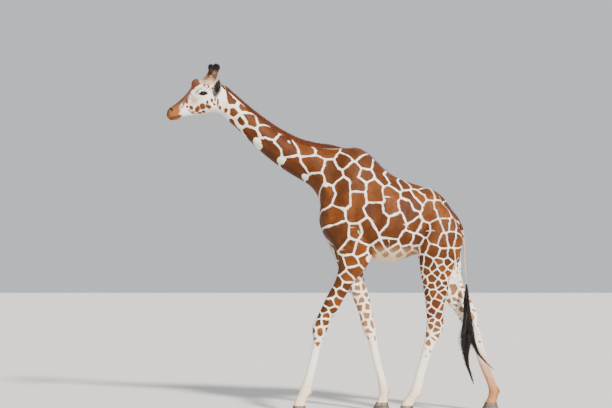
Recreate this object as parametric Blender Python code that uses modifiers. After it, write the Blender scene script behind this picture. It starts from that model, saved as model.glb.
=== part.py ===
"""Reticulated giraffe: a still, life-size model of a walking adult.

Metres.  +Z is up, -Y is forward and +X is the animal's left side.  Every section is
given in the side view, by its upper (or front) and lower (or back) point, with a half
width across.  The flesh is lofted from those sections, melted into one smooth body, and
parted into head, jaw, neck, trunk and legs by thin cuts.  Ears, eyes, ossicones, mane,
tail and hooves are solids of their own, set into the flesh with a small gap all round.
"""

import math

import bmesh
import bpy
from mathutils import Matrix, Vector

# ---- driving dimensions ------------------------------------------------------------
GAP = 0.0004              # air left between two neighbouring solids
HULL_GAP = 0.0007         # a cutting region's corners move this far, its faces about GAP
REACH = 0.6               # a cutting region's half width, past both sides of the animal

FLESH_GRAIN = 0.010       # cell of the mesh that melts the lofts together
FLESH_SMOOTHING = 7
FLESH_TRIANGLES = 3700

FORE_X = 0.195            # middle of a foreleg from the middle of the animal
HIND_X = 0.180

HEAD_TURN = math.radians(15)   # the face looks a little to the left
HEAD_PIVOT = Vector((0.0, -1.15, 3.20))
FACE_STRETCH = 1 / math.cos(HEAD_TURN)

EYE_RADIUS = 0.025
EYE = Vector((0.093, -1.356, 3.290))
LID_OPENING = (0.024, 0.027, 0.015)      # half depth, half length and half height
LID_MIDDLE = Vector((0.120, -1.356, 3.290))
NOSTRIL = (0.014, 0.018, 0.009)
NOSTRIL_MIDDLE = Vector((0.050, -1.660, 3.118))
EAR_LENGTH = 0.215
EAR_SECTIONS = (          # share of the length, half width, depth of the cup, wall
    (0.000, 0.0206, 0.0300, 0.0090),
    (0.125, 0.0336, 0.0272, 0.0085),
    (0.250, 0.0425, 0.0244, 0.0080),
    (0.375, 0.0480, 0.0216, 0.0075),
    (0.500, 0.0500, 0.0188, 0.0070),
    (0.625, 0.0449, 0.0159, 0.0065),
    (0.750, 0.0323, 0.0131, 0.0060),
    (0.875, 0.0182, 0.0103, 0.0055),
    (1.000, 0.0062, 0.0075, 0.0050),
)
EAR_COLUMNS = 7
EAR_RIM_SHARE = 0.86         # width of the cup inside, as a share of the outside
EAR_BEND = 0.014             # how far the middle bows towards the opening
EAR_SOLID_SHARE = 0.30    # the root is solid this far up, and cupped above
EAR_ROOT = Vector((0.072, -1.226, 3.272))
EAR_AXIS = Vector((0.66, 0.20, 0.72))
EAR_OPENS = Vector((0.60, -0.72, -0.35))
OSSICONE_ROOT = Vector((0.056, -1.278, 3.385))
OSSICONE_TIP = Vector((0.080, -1.224, 3.577))
OSSICONE_PROFILE = (      # share of the length, radius
    (0.00, 0.040),
    (0.20, 0.038),
    (0.38, 0.033),
    (0.58, 0.030),
    (0.76, 0.034),
    (0.88, 0.037),
    (0.96, 0.031),
    (1.00, 0.014),
)
OSSICONE_SIDES = 12

HOOF_HEIGHT = 0.105
HOOF_SOLE_FRONT = 0.105   # from the middle of the coronet to the tip of the toe
HOOF_SOLE_BACK = 0.080
HOOF_HALF_WIDTH = 0.074
CLEFT_WIDTH = 0.014
CLEFT_END = 0.030            # how far behind the sole's middle the cleft ends
HOOF_BANDS = (            # height, toe, heel and half width, as shares of the sole's
    (0.00, 1.00, 1.00, 0.97),
    (0.16, 0.99, 1.00, 1.00),
    (0.50, 0.82, 0.93, 0.95),
    (0.82, 0.66, 0.84, 0.86),
    (1.00, 0.60, 0.78, 0.80),
)
HOOF_WIDEST = 0.50           # where along a section it is widest
HOOF_SQUARENESS = 2.5        # 2 is a plain oval, and more is squarer
HOOF_SIDES = 16
CUTTER_MARGIN = 0.02         # how far a cutter passes the surface that it cuts
FLOOR_MARGIN = 0.10          # how far the blocks that part the legs pass the floor
MANE_HALF_WIDTH = 0.017
MANE_WIDEST = 0.35
MANE_SQUARENESS = 2.3
MANE_SIDES = 8
TUFT_GRAIN = 0.006
TUFT_SMOOTHING = 2
TUFT_TRIANGLES = 380

# ---- sections: y and z of the upper point, y and z of the lower point, half width,
# ---- height of the widest place (0 low, 1 high), squareness (2 is an ellipse) ---------
TRUNK_AND_NECK = (
    (1.262, 2.030, 1.230, 1.860, 0.075, 0.50, 2.0),     # root of the tail
    (1.236, 2.075, 1.140, 1.720, 0.165, 0.45, 2.0),
    (1.139, 2.212, 1.010, 1.640, 0.235, 0.50, 2.0),
    (1.040, 2.298, 0.910, 1.635, 0.275, 0.55, 2.0),     # hips
    (0.882, 2.346, 0.800, 1.625, 0.310, 0.50, 2.1),
    (0.677, 2.415, 0.665, 1.562, 0.355, 0.45, 2.1),
    (0.523, 2.508, 0.540, 1.546, 0.370, 0.42, 2.1),     # belly
    (0.421, 2.606, 0.410, 1.568, 0.355, 0.40, 2.05),
    (0.300, 2.705, 0.280, 1.595, 0.325, 0.38, 1.95),    # withers
    (0.180, 2.738, 0.120, 1.625, 0.300, 0.36, 1.9),
    (0.080, 2.735, -0.010, 1.700, 0.275, 0.36, 1.9),
    (-0.010, 2.728, -0.100, 1.830, 0.245, 0.38, 1.95),  # chest
    (-0.070, 2.726, -0.148, 1.980, 0.215, 0.42, 2.0),
    (-0.110, 2.726, -0.140, 2.160, 0.190, 0.45, 2.0),
    (-0.160, 2.730, -0.230, 2.325, 0.168, 0.48, 2.0),   # root of the neck
    (-0.270, 2.752, -0.410, 2.440, 0.150, 0.50, 2.0),
    (-0.420, 2.812, -0.575, 2.550, 0.134, 0.50, 2.0),
    (-0.600, 2.915, -0.755, 2.694, 0.118, 0.50, 2.05),
    (-0.790, 3.060, -0.925, 2.862, 0.106, 0.50, 2.1),
    (-0.960, 3.212, -1.045, 2.972, 0.098, 0.50, 2.1),
    (-1.070, 3.310, -1.115, 3.035, 0.093, 0.52, 2.1),   # throat
    (-1.160, 3.350, -1.180, 3.110, 0.080, 0.55, 2.0),
)
HEAD = (
    (-1.105, 3.360, -1.130, 3.060, 0.070, 0.55, 2.0),   # back of the skull
    (-1.180, 3.412, -1.180, 3.085, 0.092, 0.62, 2.1),
    (-1.262, 3.432, -1.245, 3.092, 0.098, 0.66, 2.2),   # under the ossicones
    (-1.340, 3.428, -1.320, 3.078, 0.097, 0.66, 2.2),   # eyes
    (-1.410, 3.400, -1.385, 3.064, 0.084, 0.62, 2.1),
    (-1.468, 3.338, -1.440, 3.056, 0.066, 0.56, 2.1),
    (-1.510, 3.284, -1.490, 3.050, 0.055, 0.50, 2.1),
    (-1.555, 3.238, -1.540, 3.040, 0.049, 0.45, 2.1),   # bridge of the nose
    (-1.600, 3.198, -1.588, 3.020, 0.050, 0.45, 2.2),
    (-1.645, 3.160, -1.640, 3.006, 0.055, 0.45, 2.4),   # nostrils
    (-1.682, 3.124, -1.675, 3.012, 0.052, 0.45, 2.4),   # lips
    (-1.702, 3.090, -1.698, 3.030, 0.036, 0.50, 2.2),
)
# ---- limb sections: y and z of the front, y and z of the back, half width, and the
# ---- middle's distance from where that limb stands --------------------------------
SHOULDER_BLADE = (0.120, 2.500, 0.360, 2.480, 0.090, -0.065)
LEFT_FORELEG = (
    SHOULDER_BLADE,
    (-0.075, 2.150, 0.375, 2.150, 0.125, -0.030),       # point of the shoulder
    (-0.115, 1.900, 0.413, 1.853, 0.130, -0.015),
    (0.025, 1.675, 0.383, 1.605, 0.112, -0.005),        # elbow
    (0.042, 1.506, 0.298, 1.466, 0.098, 0.000),
    (0.006, 1.361, 0.208, 1.367, 0.083, 0.000),
    (-0.038, 1.280, 0.160, 1.280, 0.074, 0.000),
    (-0.092, 1.179, 0.098, 1.179, 0.066, 0.000),
    (-0.140, 1.077, 0.044, 1.077, 0.059, 0.000),
    (-0.188, 0.975, -0.030, 0.975, 0.061, 0.000),
    (-0.220, 0.884, -0.060, 0.884, 0.067, 0.000),       # carpus
    (-0.211, 0.800, -0.095, 0.800, 0.057, 0.000),
    (-0.225, 0.693, -0.135, 0.693, 0.045, 0.000),
    (-0.254, 0.569, -0.159, 0.569, 0.040, 0.000),       # cannon
    (-0.302, 0.386, -0.204, 0.386, 0.041, 0.000),
    (-0.354, 0.257, -0.227, 0.246, 0.055, 0.000),       # fetlock
    (-0.387, 0.178, -0.276, 0.153, 0.049, 0.000),       # pastern
    (-0.411, 0.119, -0.292, 0.110, 0.056, 0.000),
    (-0.415, 0.070, -0.305, 0.070, 0.048, 0.000),
)
RIGHT_FORELEG = (
    SHOULDER_BLADE,
    (-0.060, 2.150, 0.387, 2.150, 0.125, -0.030),       # point of the shoulder
    (-0.105, 1.898, 0.407, 1.847, 0.130, -0.015),
    (-0.012, 1.655, 0.368, 1.595, 0.112, -0.005),       # elbow
    (0.050, 1.494, 0.333, 1.454, 0.098, 0.000),
    (0.110, 1.368, 0.323, 1.368, 0.083, 0.000),
    (0.165, 1.264, 0.354, 1.264, 0.074, 0.000),
    (0.207, 1.161, 0.384, 1.161, 0.066, 0.000),
    (0.248, 1.057, 0.400, 1.057, 0.059, 0.000),
    (0.278, 0.953, 0.421, 0.953, 0.061, 0.000),
    (0.302, 0.860, 0.441, 0.850, 0.067, 0.000),         # carpus
    (0.338, 0.778, 0.452, 0.768, 0.057, 0.000),
    (0.372, 0.667, 0.469, 0.667, 0.045, 0.000),
    (0.400, 0.539, 0.492, 0.539, 0.040, 0.000),         # cannon
    (0.444, 0.384, 0.531, 0.384, 0.041, 0.000),
    (0.465, 0.233, 0.579, 0.223, 0.055, 0.000),         # fetlock
    (0.465, 0.150, 0.568, 0.135, 0.049, 0.000),         # pastern
    (0.442, 0.105, 0.563, 0.100, 0.056, 0.000),
    (0.447, 0.060, 0.553, 0.060, 0.048, 0.000),
)
HIP = (0.980, 2.230, 1.190, 2.095, 0.100, -0.050)
LEFT_HINDLEG = (
    HIP,
    (0.890, 2.000, 1.287, 1.900, 0.140, -0.012),        # thigh
    (0.858, 1.753, 1.313, 1.783, 0.138, 0.004),
    (0.862, 1.624, 1.291, 1.664, 0.125, 0.010),         # stifle
    (0.873, 1.505, 1.229, 1.505, 0.107, 0.010),
    (0.891, 1.381, 1.181, 1.381, 0.087, 0.008),
    (0.910, 1.279, 1.168, 1.279, 0.071, 0.005),
    (0.923, 1.178, 1.140, 1.178, 0.059, 0.002),
    (0.933, 1.076, 1.120, 1.076, 0.053, 0.000),
    (0.939, 0.974, 1.120, 0.974, 0.054, 0.000),         # hock
    (0.937, 0.890, 1.112, 0.881, 0.058, 0.000),
    (0.923, 0.786, 1.062, 0.770, 0.051, 0.000),
    (0.893, 0.669, 1.009, 0.669, 0.044, 0.000),
    (0.868, 0.567, 0.976, 0.567, 0.040, 0.000),         # cannon
    (0.810, 0.364, 0.915, 0.364, 0.041, 0.000),
    (0.761, 0.231, 0.882, 0.211, 0.055, 0.000),         # fetlock
    (0.714, 0.166, 0.827, 0.138, 0.049, 0.000),         # pastern
    (0.681, 0.117, 0.805, 0.108, 0.056, 0.000),
    (0.682, 0.070, 0.791, 0.070, 0.048, 0.000),
)
RIGHT_HINDLEG = (
    HIP,
    (0.900, 2.000, 1.300, 1.898, 0.140, -0.012),        # thigh
    (0.880, 1.747, 1.325, 1.777, 0.138, 0.004),
    (0.918, 1.575, 1.325, 1.616, 0.120, 0.010),         # stifle
    (0.988, 1.434, 1.325, 1.485, 0.099, 0.010),
    (1.074, 1.283, 1.341, 1.353, 0.079, 0.006),
    (1.154, 1.162, 1.377, 1.248, 0.063, 0.002),
    (1.236, 1.056, 1.428, 1.164, 0.054, 0.000),
    (1.301, 0.955, 1.480, 1.056, 0.057, 0.000),         # hock
    (1.357, 0.859, 1.500, 0.925, 0.054, 0.000),
    (1.413, 0.754, 1.533, 0.779, 0.047, 0.000),
    (1.457, 0.645, 1.568, 0.653, 0.041, 0.000),
    (1.507, 0.486, 1.617, 0.497, 0.040, 0.000),         # cannon
    (1.571, 0.334, 1.671, 0.334, 0.041, 0.000),
    (1.602, 0.239, 1.713, 0.224, 0.055, 0.000),         # fetlock
    (1.594, 0.155, 1.697, 0.140, 0.049, 0.000),         # pastern
    (1.566, 0.105, 1.692, 0.100, 0.056, 0.000),
    (1.566, 0.060, 1.681, 0.060, 0.048, 0.000),
)
# middle of the coronet of each foot, as y
FEET = {
    "foreleg_left": (LEFT_FORELEG, FORE_X, -0.352),
    "foreleg_right": (RIGHT_FORELEG, -FORE_X, 0.502),
    "hindleg_left": (LEFT_HINDLEG, HIND_X, 0.743),
    "hindleg_right": (RIGHT_HINDLEG, -HIND_X, 1.629),
}
# crest of the mane, y and z, from the poll to the withers, with its height there
MANE = (
    (-1.165, 3.418, 0.050),
    (-1.110, 3.376, 0.060),
    (-0.964, 3.252, 0.066),
    (-0.759, 3.080, 0.066),
    (-0.554, 2.940, 0.064),
    (-0.349, 2.834, 0.060),
    (-0.144, 2.782, 0.056),
    (0.062, 2.762, 0.046),
    (0.185, 2.752, 0.034),
)
TAIL = (                  # y, z and radius of the stem
    (1.215, 2.050, 0.040),
    (1.275, 1.990, 0.034),
    (1.312, 1.900, 0.026),
    (1.334, 1.760, 0.020),
    (1.345, 1.600, 0.016),
    (1.352, 1.450, 0.013),
    (1.362, 1.330, 0.012),
    (1.370, 1.240, 0.011),
)
TUFT_LOCKS = (            # x, y, z and radius along each lock of the tail's tuft
    ((0.000, 1.366, 1.300, 0.012), (0.000, 1.364, 1.150, 0.034), (0.002, 1.370, 0.960, 0.046),
     (0.004, 1.366, 0.780, 0.060), (0.004, 1.358, 0.640, 0.026), (0.010, 1.368, 0.520, 0.016),
     (0.014, 1.400, 0.420, 0.012), (0.020, 1.440, 0.300, 0.004)),
    ((-0.004, 1.372, 1.180, 0.016), (-0.012, 1.400, 0.950, 0.026), (-0.016, 1.425, 0.770, 0.024),
     (-0.020, 1.475, 0.640, 0.018), (-0.020, 1.552, 0.540, 0.012), (-0.016, 1.655, 0.448, 0.004)),
    ((0.010, 1.360, 1.150, 0.014), (0.030, 1.345, 0.900, 0.026), (0.036, 1.335, 0.740, 0.026),
     (0.030, 1.350, 0.610, 0.010), (0.026, 1.372, 0.520, 0.004)),
)
# outlines, (y, z), of the blocks that part the flesh
HEAD_CUT = ((-1.112, 3.45), (-1.152, 3.00), (-2.0, 2.9), (-2.0, 3.9), (-1.112, 3.9))
NECK_CUT = ((0.010, 2.95), (-0.205, 2.15), (-1.6, 2.3), (-1.6, 3.9), (-0.5, 3.9))
JAW_CUT = ((-1.80, 2.998), (-1.545, 3.056), (-1.215, 3.190), (-1.215, 2.8), (-1.80, 2.8))
# side, top (y from, to), bottom (y from, to), inner edge (x, z), outer edge (x, z)
LEG_CUTS = {
    "foreleg_left": (1, (-0.30, 0.395), (-0.75, 0.395), (0.015, 1.575), (0.48, 2.02)),
    "foreleg_right": (-1, (-0.30, 0.395), (-0.10, 0.80), (0.015, 1.575), (0.48, 2.02)),
    "hindleg_left": (1, (0.935, 1.80), (0.50, 1.80), (0.015, 1.600), (0.48, 2.220)),
    "hindleg_right": (-1, (0.860, 1.90), (0.95, 1.90), (0.015, 1.600), (0.48, 2.220)),
}
# bones and muscles that shape the surface: middle and radii, mirrored to both sides
LANDMARKS = (
    ((0.168, 0.975, 2.222), (0.060, 0.120, 0.070)),     # point of the hip
    ((0.078, 1.235, 1.965), (0.060, 0.062, 0.100)),     # point of the buttock
    ((0.205, 0.925, 1.690), (0.085, 0.070, 0.130)),     # stifle
    ((0.132, 0.160, 2.380), (0.115, 0.170, 0.300)),     # shoulder blade
    ((0.190, -0.010, 1.970), (0.095, 0.105, 0.160)),    # point of the shoulder
)
HEAD_LANDMARKS = (
    ((0.078, -1.358, 3.292), (0.038, 0.056, 0.046)),    # rim of the eye socket
    ((0.060, -1.250, 3.185), (0.040, 0.075, 0.075)),    # cheek
    ((0.056, -1.280, 3.402), (0.044, 0.050, 0.044)),    # root of the ossicone
    ((0.074, -1.222, 3.278), (0.034, 0.036, 0.042)),    # root of the ear
    ((0.026, -1.652, 3.098), (0.030, 0.044, 0.046)),    # side of the nose
)
FOREHEAD_LUMP = ((0.0, -1.400, 3.385), (0.044, 0.062, 0.058))
CHIN = ((0.0, -1.610, 3.040), (0.030, 0.050, 0.030))

MATERIALS = {             # colour, roughness
    "coat": ((0.36, 0.13, 0.040), 0.75),
    "pale coat": ((0.80, 0.72, 0.58), 0.75),
    "dark hair": ((0.030, 0.018, 0.012), 0.60),
    "mane hair": ((0.16, 0.045, 0.020), 0.65),
    "horn": ((0.10, 0.075, 0.055), 0.55),
    "eye": ((0.020, 0.010, 0.006), 0.08),
}


# ---- helpers -----------------------------------------------------------------------
def clear_scene():
    for obj in list(bpy.data.objects):
        bpy.data.objects.remove(obj, do_unlink=True)


def collection(name):
    group = bpy.data.collections.new(name)
    bpy.context.scene.collection.children.link(group)
    return group


def material(name):
    found = bpy.data.materials.get(name)
    if found:
        return found
    colour, roughness = MATERIALS[name]
    made = bpy.data.materials.new(name)
    made.use_nodes = True
    shader = made.node_tree.nodes["Principled BSDF"]
    shader.inputs["Base Color"].default_value = (*colour, 1.0)
    shader.inputs["Roughness"].default_value = roughness
    shader.inputs["Metallic"].default_value = 0.0
    return made


def add_object(name, mesh, group):
    obj = bpy.data.objects.new(name, mesh)
    group.objects.link(obj)
    return obj


def to_object(name, bm, group):
    """A mesh object; its faces become triangles, so a twisted one has one shape only."""
    bmesh.ops.triangulate(bm, faces=bm.faces[:])
    bmesh.ops.recalc_face_normals(bm, faces=bm.faces[:])
    mesh = bpy.data.meshes.new(name)
    bm.to_mesh(mesh)
    bm.free()
    return add_object(name, mesh, group)


def as_tool(obj):
    """Marks a cutter or a raw shape, which is no part of the animal."""
    obj.hide_render = True
    obj.display_type = "WIRE"
    return obj


def settle(obj):
    """Replaces an object's mesh by what its modifiers make of it."""
    depsgraph = bpy.context.evaluated_depsgraph_get()
    depsgraph.update()
    mesh = bpy.data.meshes.new_from_object(obj.evaluated_get(depsgraph))
    obj.modifiers.clear()
    obj.data = mesh
    return obj


def boolean(obj, tool, operation):
    cut = obj.modifiers.new(operation, "BOOLEAN")
    cut.operation = operation
    cut.solver = "EXACT"
    cut.object = tool
    return settle(obj)


def copy_of(obj, name, group):
    return add_object(name, obj.data.copy(), group)


def grown(obj, amount, group):
    """A copy whose surface lies a little further out, to cut a neighbour with."""
    bigger = as_tool(copy_of(obj, obj.name + " grown", group))
    push = bigger.modifiers.new("grow", "DISPLACE")
    push.strength = amount
    push.mid_level = 0.0
    return settle(bigger)


def seat(flesh, inset, group):
    """Cuts the place of an inset solid, such as an ear, out of the flesh."""
    return boolean(flesh, grown(inset, GAP, group), "DIFFERENCE")


# ---- shapes ------------------------------------------------------------------------
def through(rows, steps):
    """Rows of numbers, filled in along a smooth curve that passes through each."""
    filled = []
    for index in range(len(rows) - 1):
        before = rows[max(index - 1, 0)]
        here = rows[index]
        there = rows[index + 1]
        after = rows[min(index + 2, len(rows) - 1)]
        for step in range(steps):
            t = step / steps
            filled.append([
                0.5 * (2 * b + (c - a) * t + (2 * a - 5 * b + 4 * c - d) * t ** 2
                       + (3 * b - a - 3 * c + d) * t ** 3)
                for a, b, c, d in zip(before, here, there, after)])
    filled.append(list(rows[-1]))
    return filled


def power(value, squareness):
    return math.copysign(abs(value) ** (2 / squareness), value)


def oval(row, points):
    """A closed section from y, z above, y, z below, half width, widest, square, x."""
    upper = Vector((row[7], row[0], row[1]))
    lower = Vector((row[7], row[2], row[3]))
    ring = []
    for index in range(points):
        angle = 2 * math.pi * index / points
        across = row[4] * power(math.cos(angle), row[6])
        rise = power(math.sin(angle), row[6])
        height = row[5] + rise * (1 - row[5] if rise > 0 else row[5])
        ring.append(lower.lerp(upper, height) + Vector((across, 0, 0)))
    return ring


def skin_rings(bm, rings):
    """Joins closed sections of equal counts into one solid."""
    verts = [[bm.verts.new(point) for point in ring] for ring in rings]
    count = len(verts[0])
    for near, far in zip(verts, verts[1:]):
        for index in range(count):
            after = (index + 1) % count
            bm.faces.new((near[index], near[after], far[after], far[index]))
    bm.faces.new(verts[0])
    bm.faces.new(verts[-1])


def add_loft(bm, rows, points=28, steps=3):
    skin_rings(bm, [oval(row, points) for row in through(rows, steps)])


def add_ball(bm, middle, radii, segments=20):
    place = Matrix.Translation(middle) @ Matrix.Diagonal((*radii, 1.0))
    bmesh.ops.create_uvsphere(bm, u_segments=segments, v_segments=segments // 2,
                              radius=1.0, matrix=place)


def mirrored(point, side):
    return Vector((point[0] * side, point[1], point[2]))


def turn_head():
    """Turns the face about the poll, lengthened so that its side view keeps its length."""
    return (Matrix.Translation(HEAD_PIVOT)
            @ Matrix.Rotation(HEAD_TURN, 4, "Z")
            @ Matrix.Diagonal((1.0, FACE_STRETCH, 1.0, 1.0))
            @ Matrix.Translation(-HEAD_PIVOT))


def tube(name, points, group):
    """A tapering tube along a smooth curve, from x, y, z and radius at each point."""
    curve = bpy.data.curves.new(name, "CURVE")
    curve.dimensions = "3D"
    curve.bevel_depth = 1.0
    curve.bevel_resolution = 1
    curve.use_fill_caps = True
    route = through(points, 2)
    line = curve.splines.new("POLY")
    line.points.add(len(route) - 1)
    for point, (x, y, z, radius) in zip(line.points, route):
        point.co = (x, y, z, 1.0)
        point.radius = radius
    source = add_object(name + " curve", curve, group)
    depsgraph = bpy.context.evaluated_depsgraph_get()
    mesh = bpy.data.meshes.new_from_object(source.evaluated_get(depsgraph))
    bpy.data.objects.remove(source)
    bm = bmesh.new()
    bm.from_mesh(mesh)
    bmesh.ops.remove_doubles(bm, verts=bm.verts[:], dist=0.0001)
    return to_object(name, bm, group)


def melt(obj, grain, smoothing, triangles):
    """Turns overlapping closed shapes into one smooth body of about so many triangles."""
    remesh = obj.modifiers.new("melt", "REMESH")
    remesh.mode = "VOXEL"
    remesh.voxel_size = grain
    smooth = obj.modifiers.new("smooth", "SMOOTH")
    smooth.factor = 0.5
    smooth.iterations = smoothing
    settle(obj)
    thin = obj.modifiers.new("thin", "DECIMATE")
    thin.ratio = triangles / (2 * len(obj.data.polygons))
    return settle(obj)


# ---- the animal --------------------------------------------------------------------
def make_flesh(tools):
    bm = bmesh.new()
    add_loft(bm, [(*row, 0.0) for row in TRUNK_AND_NECK])
    for sections, middle, _ in FEET.values():
        side = math.copysign(1, middle)
        add_loft(bm, [(*row[:4], row[4], 0.5, 2.2, middle + side * row[5]) for row in sections],
                 points=20)
    for centre, radii in LANDMARKS:
        for side in (1, -1):
            add_ball(bm, mirrored(centre, side), radii)

    face = bmesh.new()
    add_loft(face, [(*row, 0.0) for row in HEAD])
    for centre, radii in HEAD_LANDMARKS:
        for side in (1, -1):
            add_ball(face, mirrored(centre, side), radii)
    add_ball(face, *FOREHEAD_LUMP)
    add_ball(face, *CHIN)
    face.transform(turn_head())
    held = bpy.data.meshes.new("face")
    face.to_mesh(held)
    face.free()
    bm.from_mesh(held)

    flesh = as_tool(to_object("flesh", bm, tools))
    return melt(flesh, FLESH_GRAIN, FLESH_SMOOTHING, FLESH_TRIANGLES)


def block(name, corners, tools):
    """A convex region with the given corners."""
    bm = bmesh.new()
    verts = [bm.verts.new(corner) for corner in corners]
    bmesh.ops.convex_hull(bm, input=verts)
    return as_tool(to_object(name, bm, tools))


def slab(name, outline, tools):
    """A region with the given outline in the side view, across the whole animal."""
    bm = bmesh.new()
    skin_rings(bm, [[Vector((x, y, z)) for y, z in outline] for x in (-REACH, REACH)])
    return as_tool(to_object(name, bm, tools))


def leg_region(name, side, top, bottom, inner, outer, tools):
    """What lies below a plane that rises outward, from the given y limits down to the feet."""
    corners = [(side * x, y, z) for x, z in (inner, outer) for y in top]
    corners += [(side * x, y, -FLOOR_MARGIN) for x in (inner[0], outer[0]) for y in bottom]
    return block(name, corners, tools)


def open_face(head, tools):
    """Cuts the openings of the eyelids and the nostrils."""
    for side in (1, -1):
        for middle, radii in ((LID_MIDDLE, LID_OPENING), (NOSTRIL_MIDDLE, NOSTRIL)):
            bm = bmesh.new()
            add_ball(bm, mirrored(middle, side), radii, segments=10)
            bm.transform(turn_head())
            boolean(head, as_tool(to_object("face opening", bm, tools)), "DIFFERENCE")


def part_flesh(flesh, parts, tools):
    """Cuts the flesh into its named parts and returns them by name."""
    regions = {
        "head": slab("head region", HEAD_CUT, tools),
        "neck": slab("neck region", NECK_CUT, tools),
    }
    for name, cut in LEG_CUTS.items():
        regions[name] = leg_region(f"{name} region", *cut, tools)
    rest = flesh
    made = {}
    for name, region in regions.items():
        made[name] = boolean(copy_of(rest, name, parts), region, "INTERSECT")
        rest = boolean(rest, grown(region, HULL_GAP, tools), "DIFFERENCE")
    made["trunk"] = copy_of(rest, "trunk", parts)

    jaw_region = slab("jaw region", JAW_CUT, tools)
    jaw_region.data.transform(turn_head())
    made["lower_jaw"] = boolean(copy_of(made["head"], "lower_jaw", parts), jaw_region, "INTERSECT")
    boolean(made["head"], grown(jaw_region, HULL_GAP, tools), "DIFFERENCE")
    return made


def make_eye(name, side, parts):
    bm = bmesh.new()
    add_ball(bm, mirrored(EYE, side), (EYE_RADIUS,) * 3, segments=12)
    bm.transform(turn_head())
    return to_object(name, bm, parts)


def make_ear(name, side, parts):
    """A cupped leaf on a narrow root."""
    along = mirrored(EAR_AXIS, side).normalized()
    opens = mirrored(EAR_OPENS, side)
    opens = (opens - along * opens.dot(along)).normalized()
    across = along.cross(opens)
    root = mirrored(EAR_ROOT, side)
    spread = [2 * column / (EAR_COLUMNS - 1) - 1 for column in range(EAR_COLUMNS)]
    rings = []
    for share, half, depth, wall in EAR_SECTIONS:
        cupped = min(share / EAR_SOLID_SHARE, 1.0)
        centre = root + along * (EAR_LENGTH * share) + opens * EAR_BEND * math.sin(math.pi * share)
        outside = [centre + across * half * u - opens * depth * (1 - u * u) for u in spread]
        hollow = cupped * (depth - wall) - (1 - cupped) * depth / 2
        inside = [centre + across * half * EAR_RIM_SHARE * u - opens * hollow * (1 - u * u)
                  + opens * wall / 2 for u in reversed(spread)]
        rings.append(outside + inside)
    bm = bmesh.new()
    skin_rings(bm, rings)
    bm.transform(turn_head())
    return to_object(name, bm, parts)


def make_ossicone(name, side, parts):
    """A skin-covered horn with a waist, a knob and a cap of hair."""
    root = mirrored(OSSICONE_ROOT, side)
    tip = mirrored(OSSICONE_TIP, side)
    turn = Vector((0, 0, 1)).rotation_difference(tip - root).to_matrix().to_4x4()
    rings = []
    angles = [2 * math.pi * index / OSSICONE_SIDES for index in range(OSSICONE_SIDES)]
    for share, radius in OSSICONE_PROFILE:
        circle = [Vector((radius * math.cos(angle), radius * math.sin(angle), 0)) for angle in angles]
        rings.append([root.lerp(tip, share) + turn @ point for point in circle])
    bm = bmesh.new()
    skin_rings(bm, rings)
    bm.transform(turn_head())
    return to_object(name, bm, parts)


def make_mane(parts):
    """An upright crest of hair, rooted just under the skin."""
    rows = through(MANE, 2)
    sections = []
    for index, (y, z, height) in enumerate(rows):
        ahead = rows[min(index + 1, len(rows) - 1)]
        behind = rows[max(index - 1, 0)]
        along = Vector((0, ahead[0] - behind[0], ahead[1] - behind[1])).normalized()
        down = Vector((0, along.z, -along.y)) * height
        sections.append((y, z, y + down.y, z + down.z, MANE_HALF_WIDTH, MANE_WIDEST, MANE_SQUARENESS, 0.0))
    bm = bmesh.new()
    skin_rings(bm, [oval(section, MANE_SIDES) for section in sections])
    return to_object("mane", bm, parts)


def make_hoof(name, x, y, parts, tools):
    """Two toes with flat soles, joined at the heel and parted by a cleft in front."""
    rings = []
    for height, toe, heel, wide in HOOF_BANDS:
        front = y - HOOF_SOLE_FRONT * toe
        back = y + HOOF_SOLE_BACK * heel
        row = (front, height * HOOF_HEIGHT, back, height * HOOF_HEIGHT,
               HOOF_HALF_WIDTH * wide, HOOF_WIDEST, HOOF_SQUARENESS, x)
        rings.append(oval(row, HOOF_SIDES))
    bm = bmesh.new()
    skin_rings(bm, rings)
    hoof = to_object(name, bm, parts)
    tip = y - HOOF_SOLE_FRONT - CUTTER_MARGIN
    end = y + CLEFT_END
    wedge = [(x + side * half, place, z) for side in (1, -1)
             for z in (-CUTTER_MARGIN, HOOF_HEIGHT + CUTTER_MARGIN)
             for half, place in ((CLEFT_WIDTH, tip), (CLEFT_WIDTH / 3, end))]
    return boolean(hoof, block(name + " cleft", wedge, tools), "DIFFERENCE")


def make_tuft(parts, tools):
    bm = bmesh.new()
    for index, lock in enumerate(TUFT_LOCKS):
        shape = tube(f"lock {index}", lock, tools)
        bm.from_mesh(shape.data)
        bpy.data.objects.remove(shape)
    return melt(to_object("tail_tuft", bm, parts), TUFT_GRAIN, TUFT_SMOOTHING, TUFT_TRIANGLES)


def place_on_floor(parts):
    """Moves the animal so that the middle of its box in x and y is the origin."""
    corners = [vertex.co for obj in parts.objects for vertex in obj.data.vertices]
    middle_x = (min(c.x for c in corners) + max(c.x for c in corners)) / 2
    middle_y = (min(c.y for c in corners) + max(c.y for c in corners)) / 2
    shift = Matrix.Translation((-middle_x, -middle_y, 0.0))
    for obj in parts.objects:
        obj.data.transform(shift)


def finish_surface(obj, name):
    obj.data.materials.clear()
    obj.data.materials.append(material(name))
    obj.data.shade_smooth()
    obj.data.set_sharp_from_angle(angle=math.radians(40))


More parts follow.
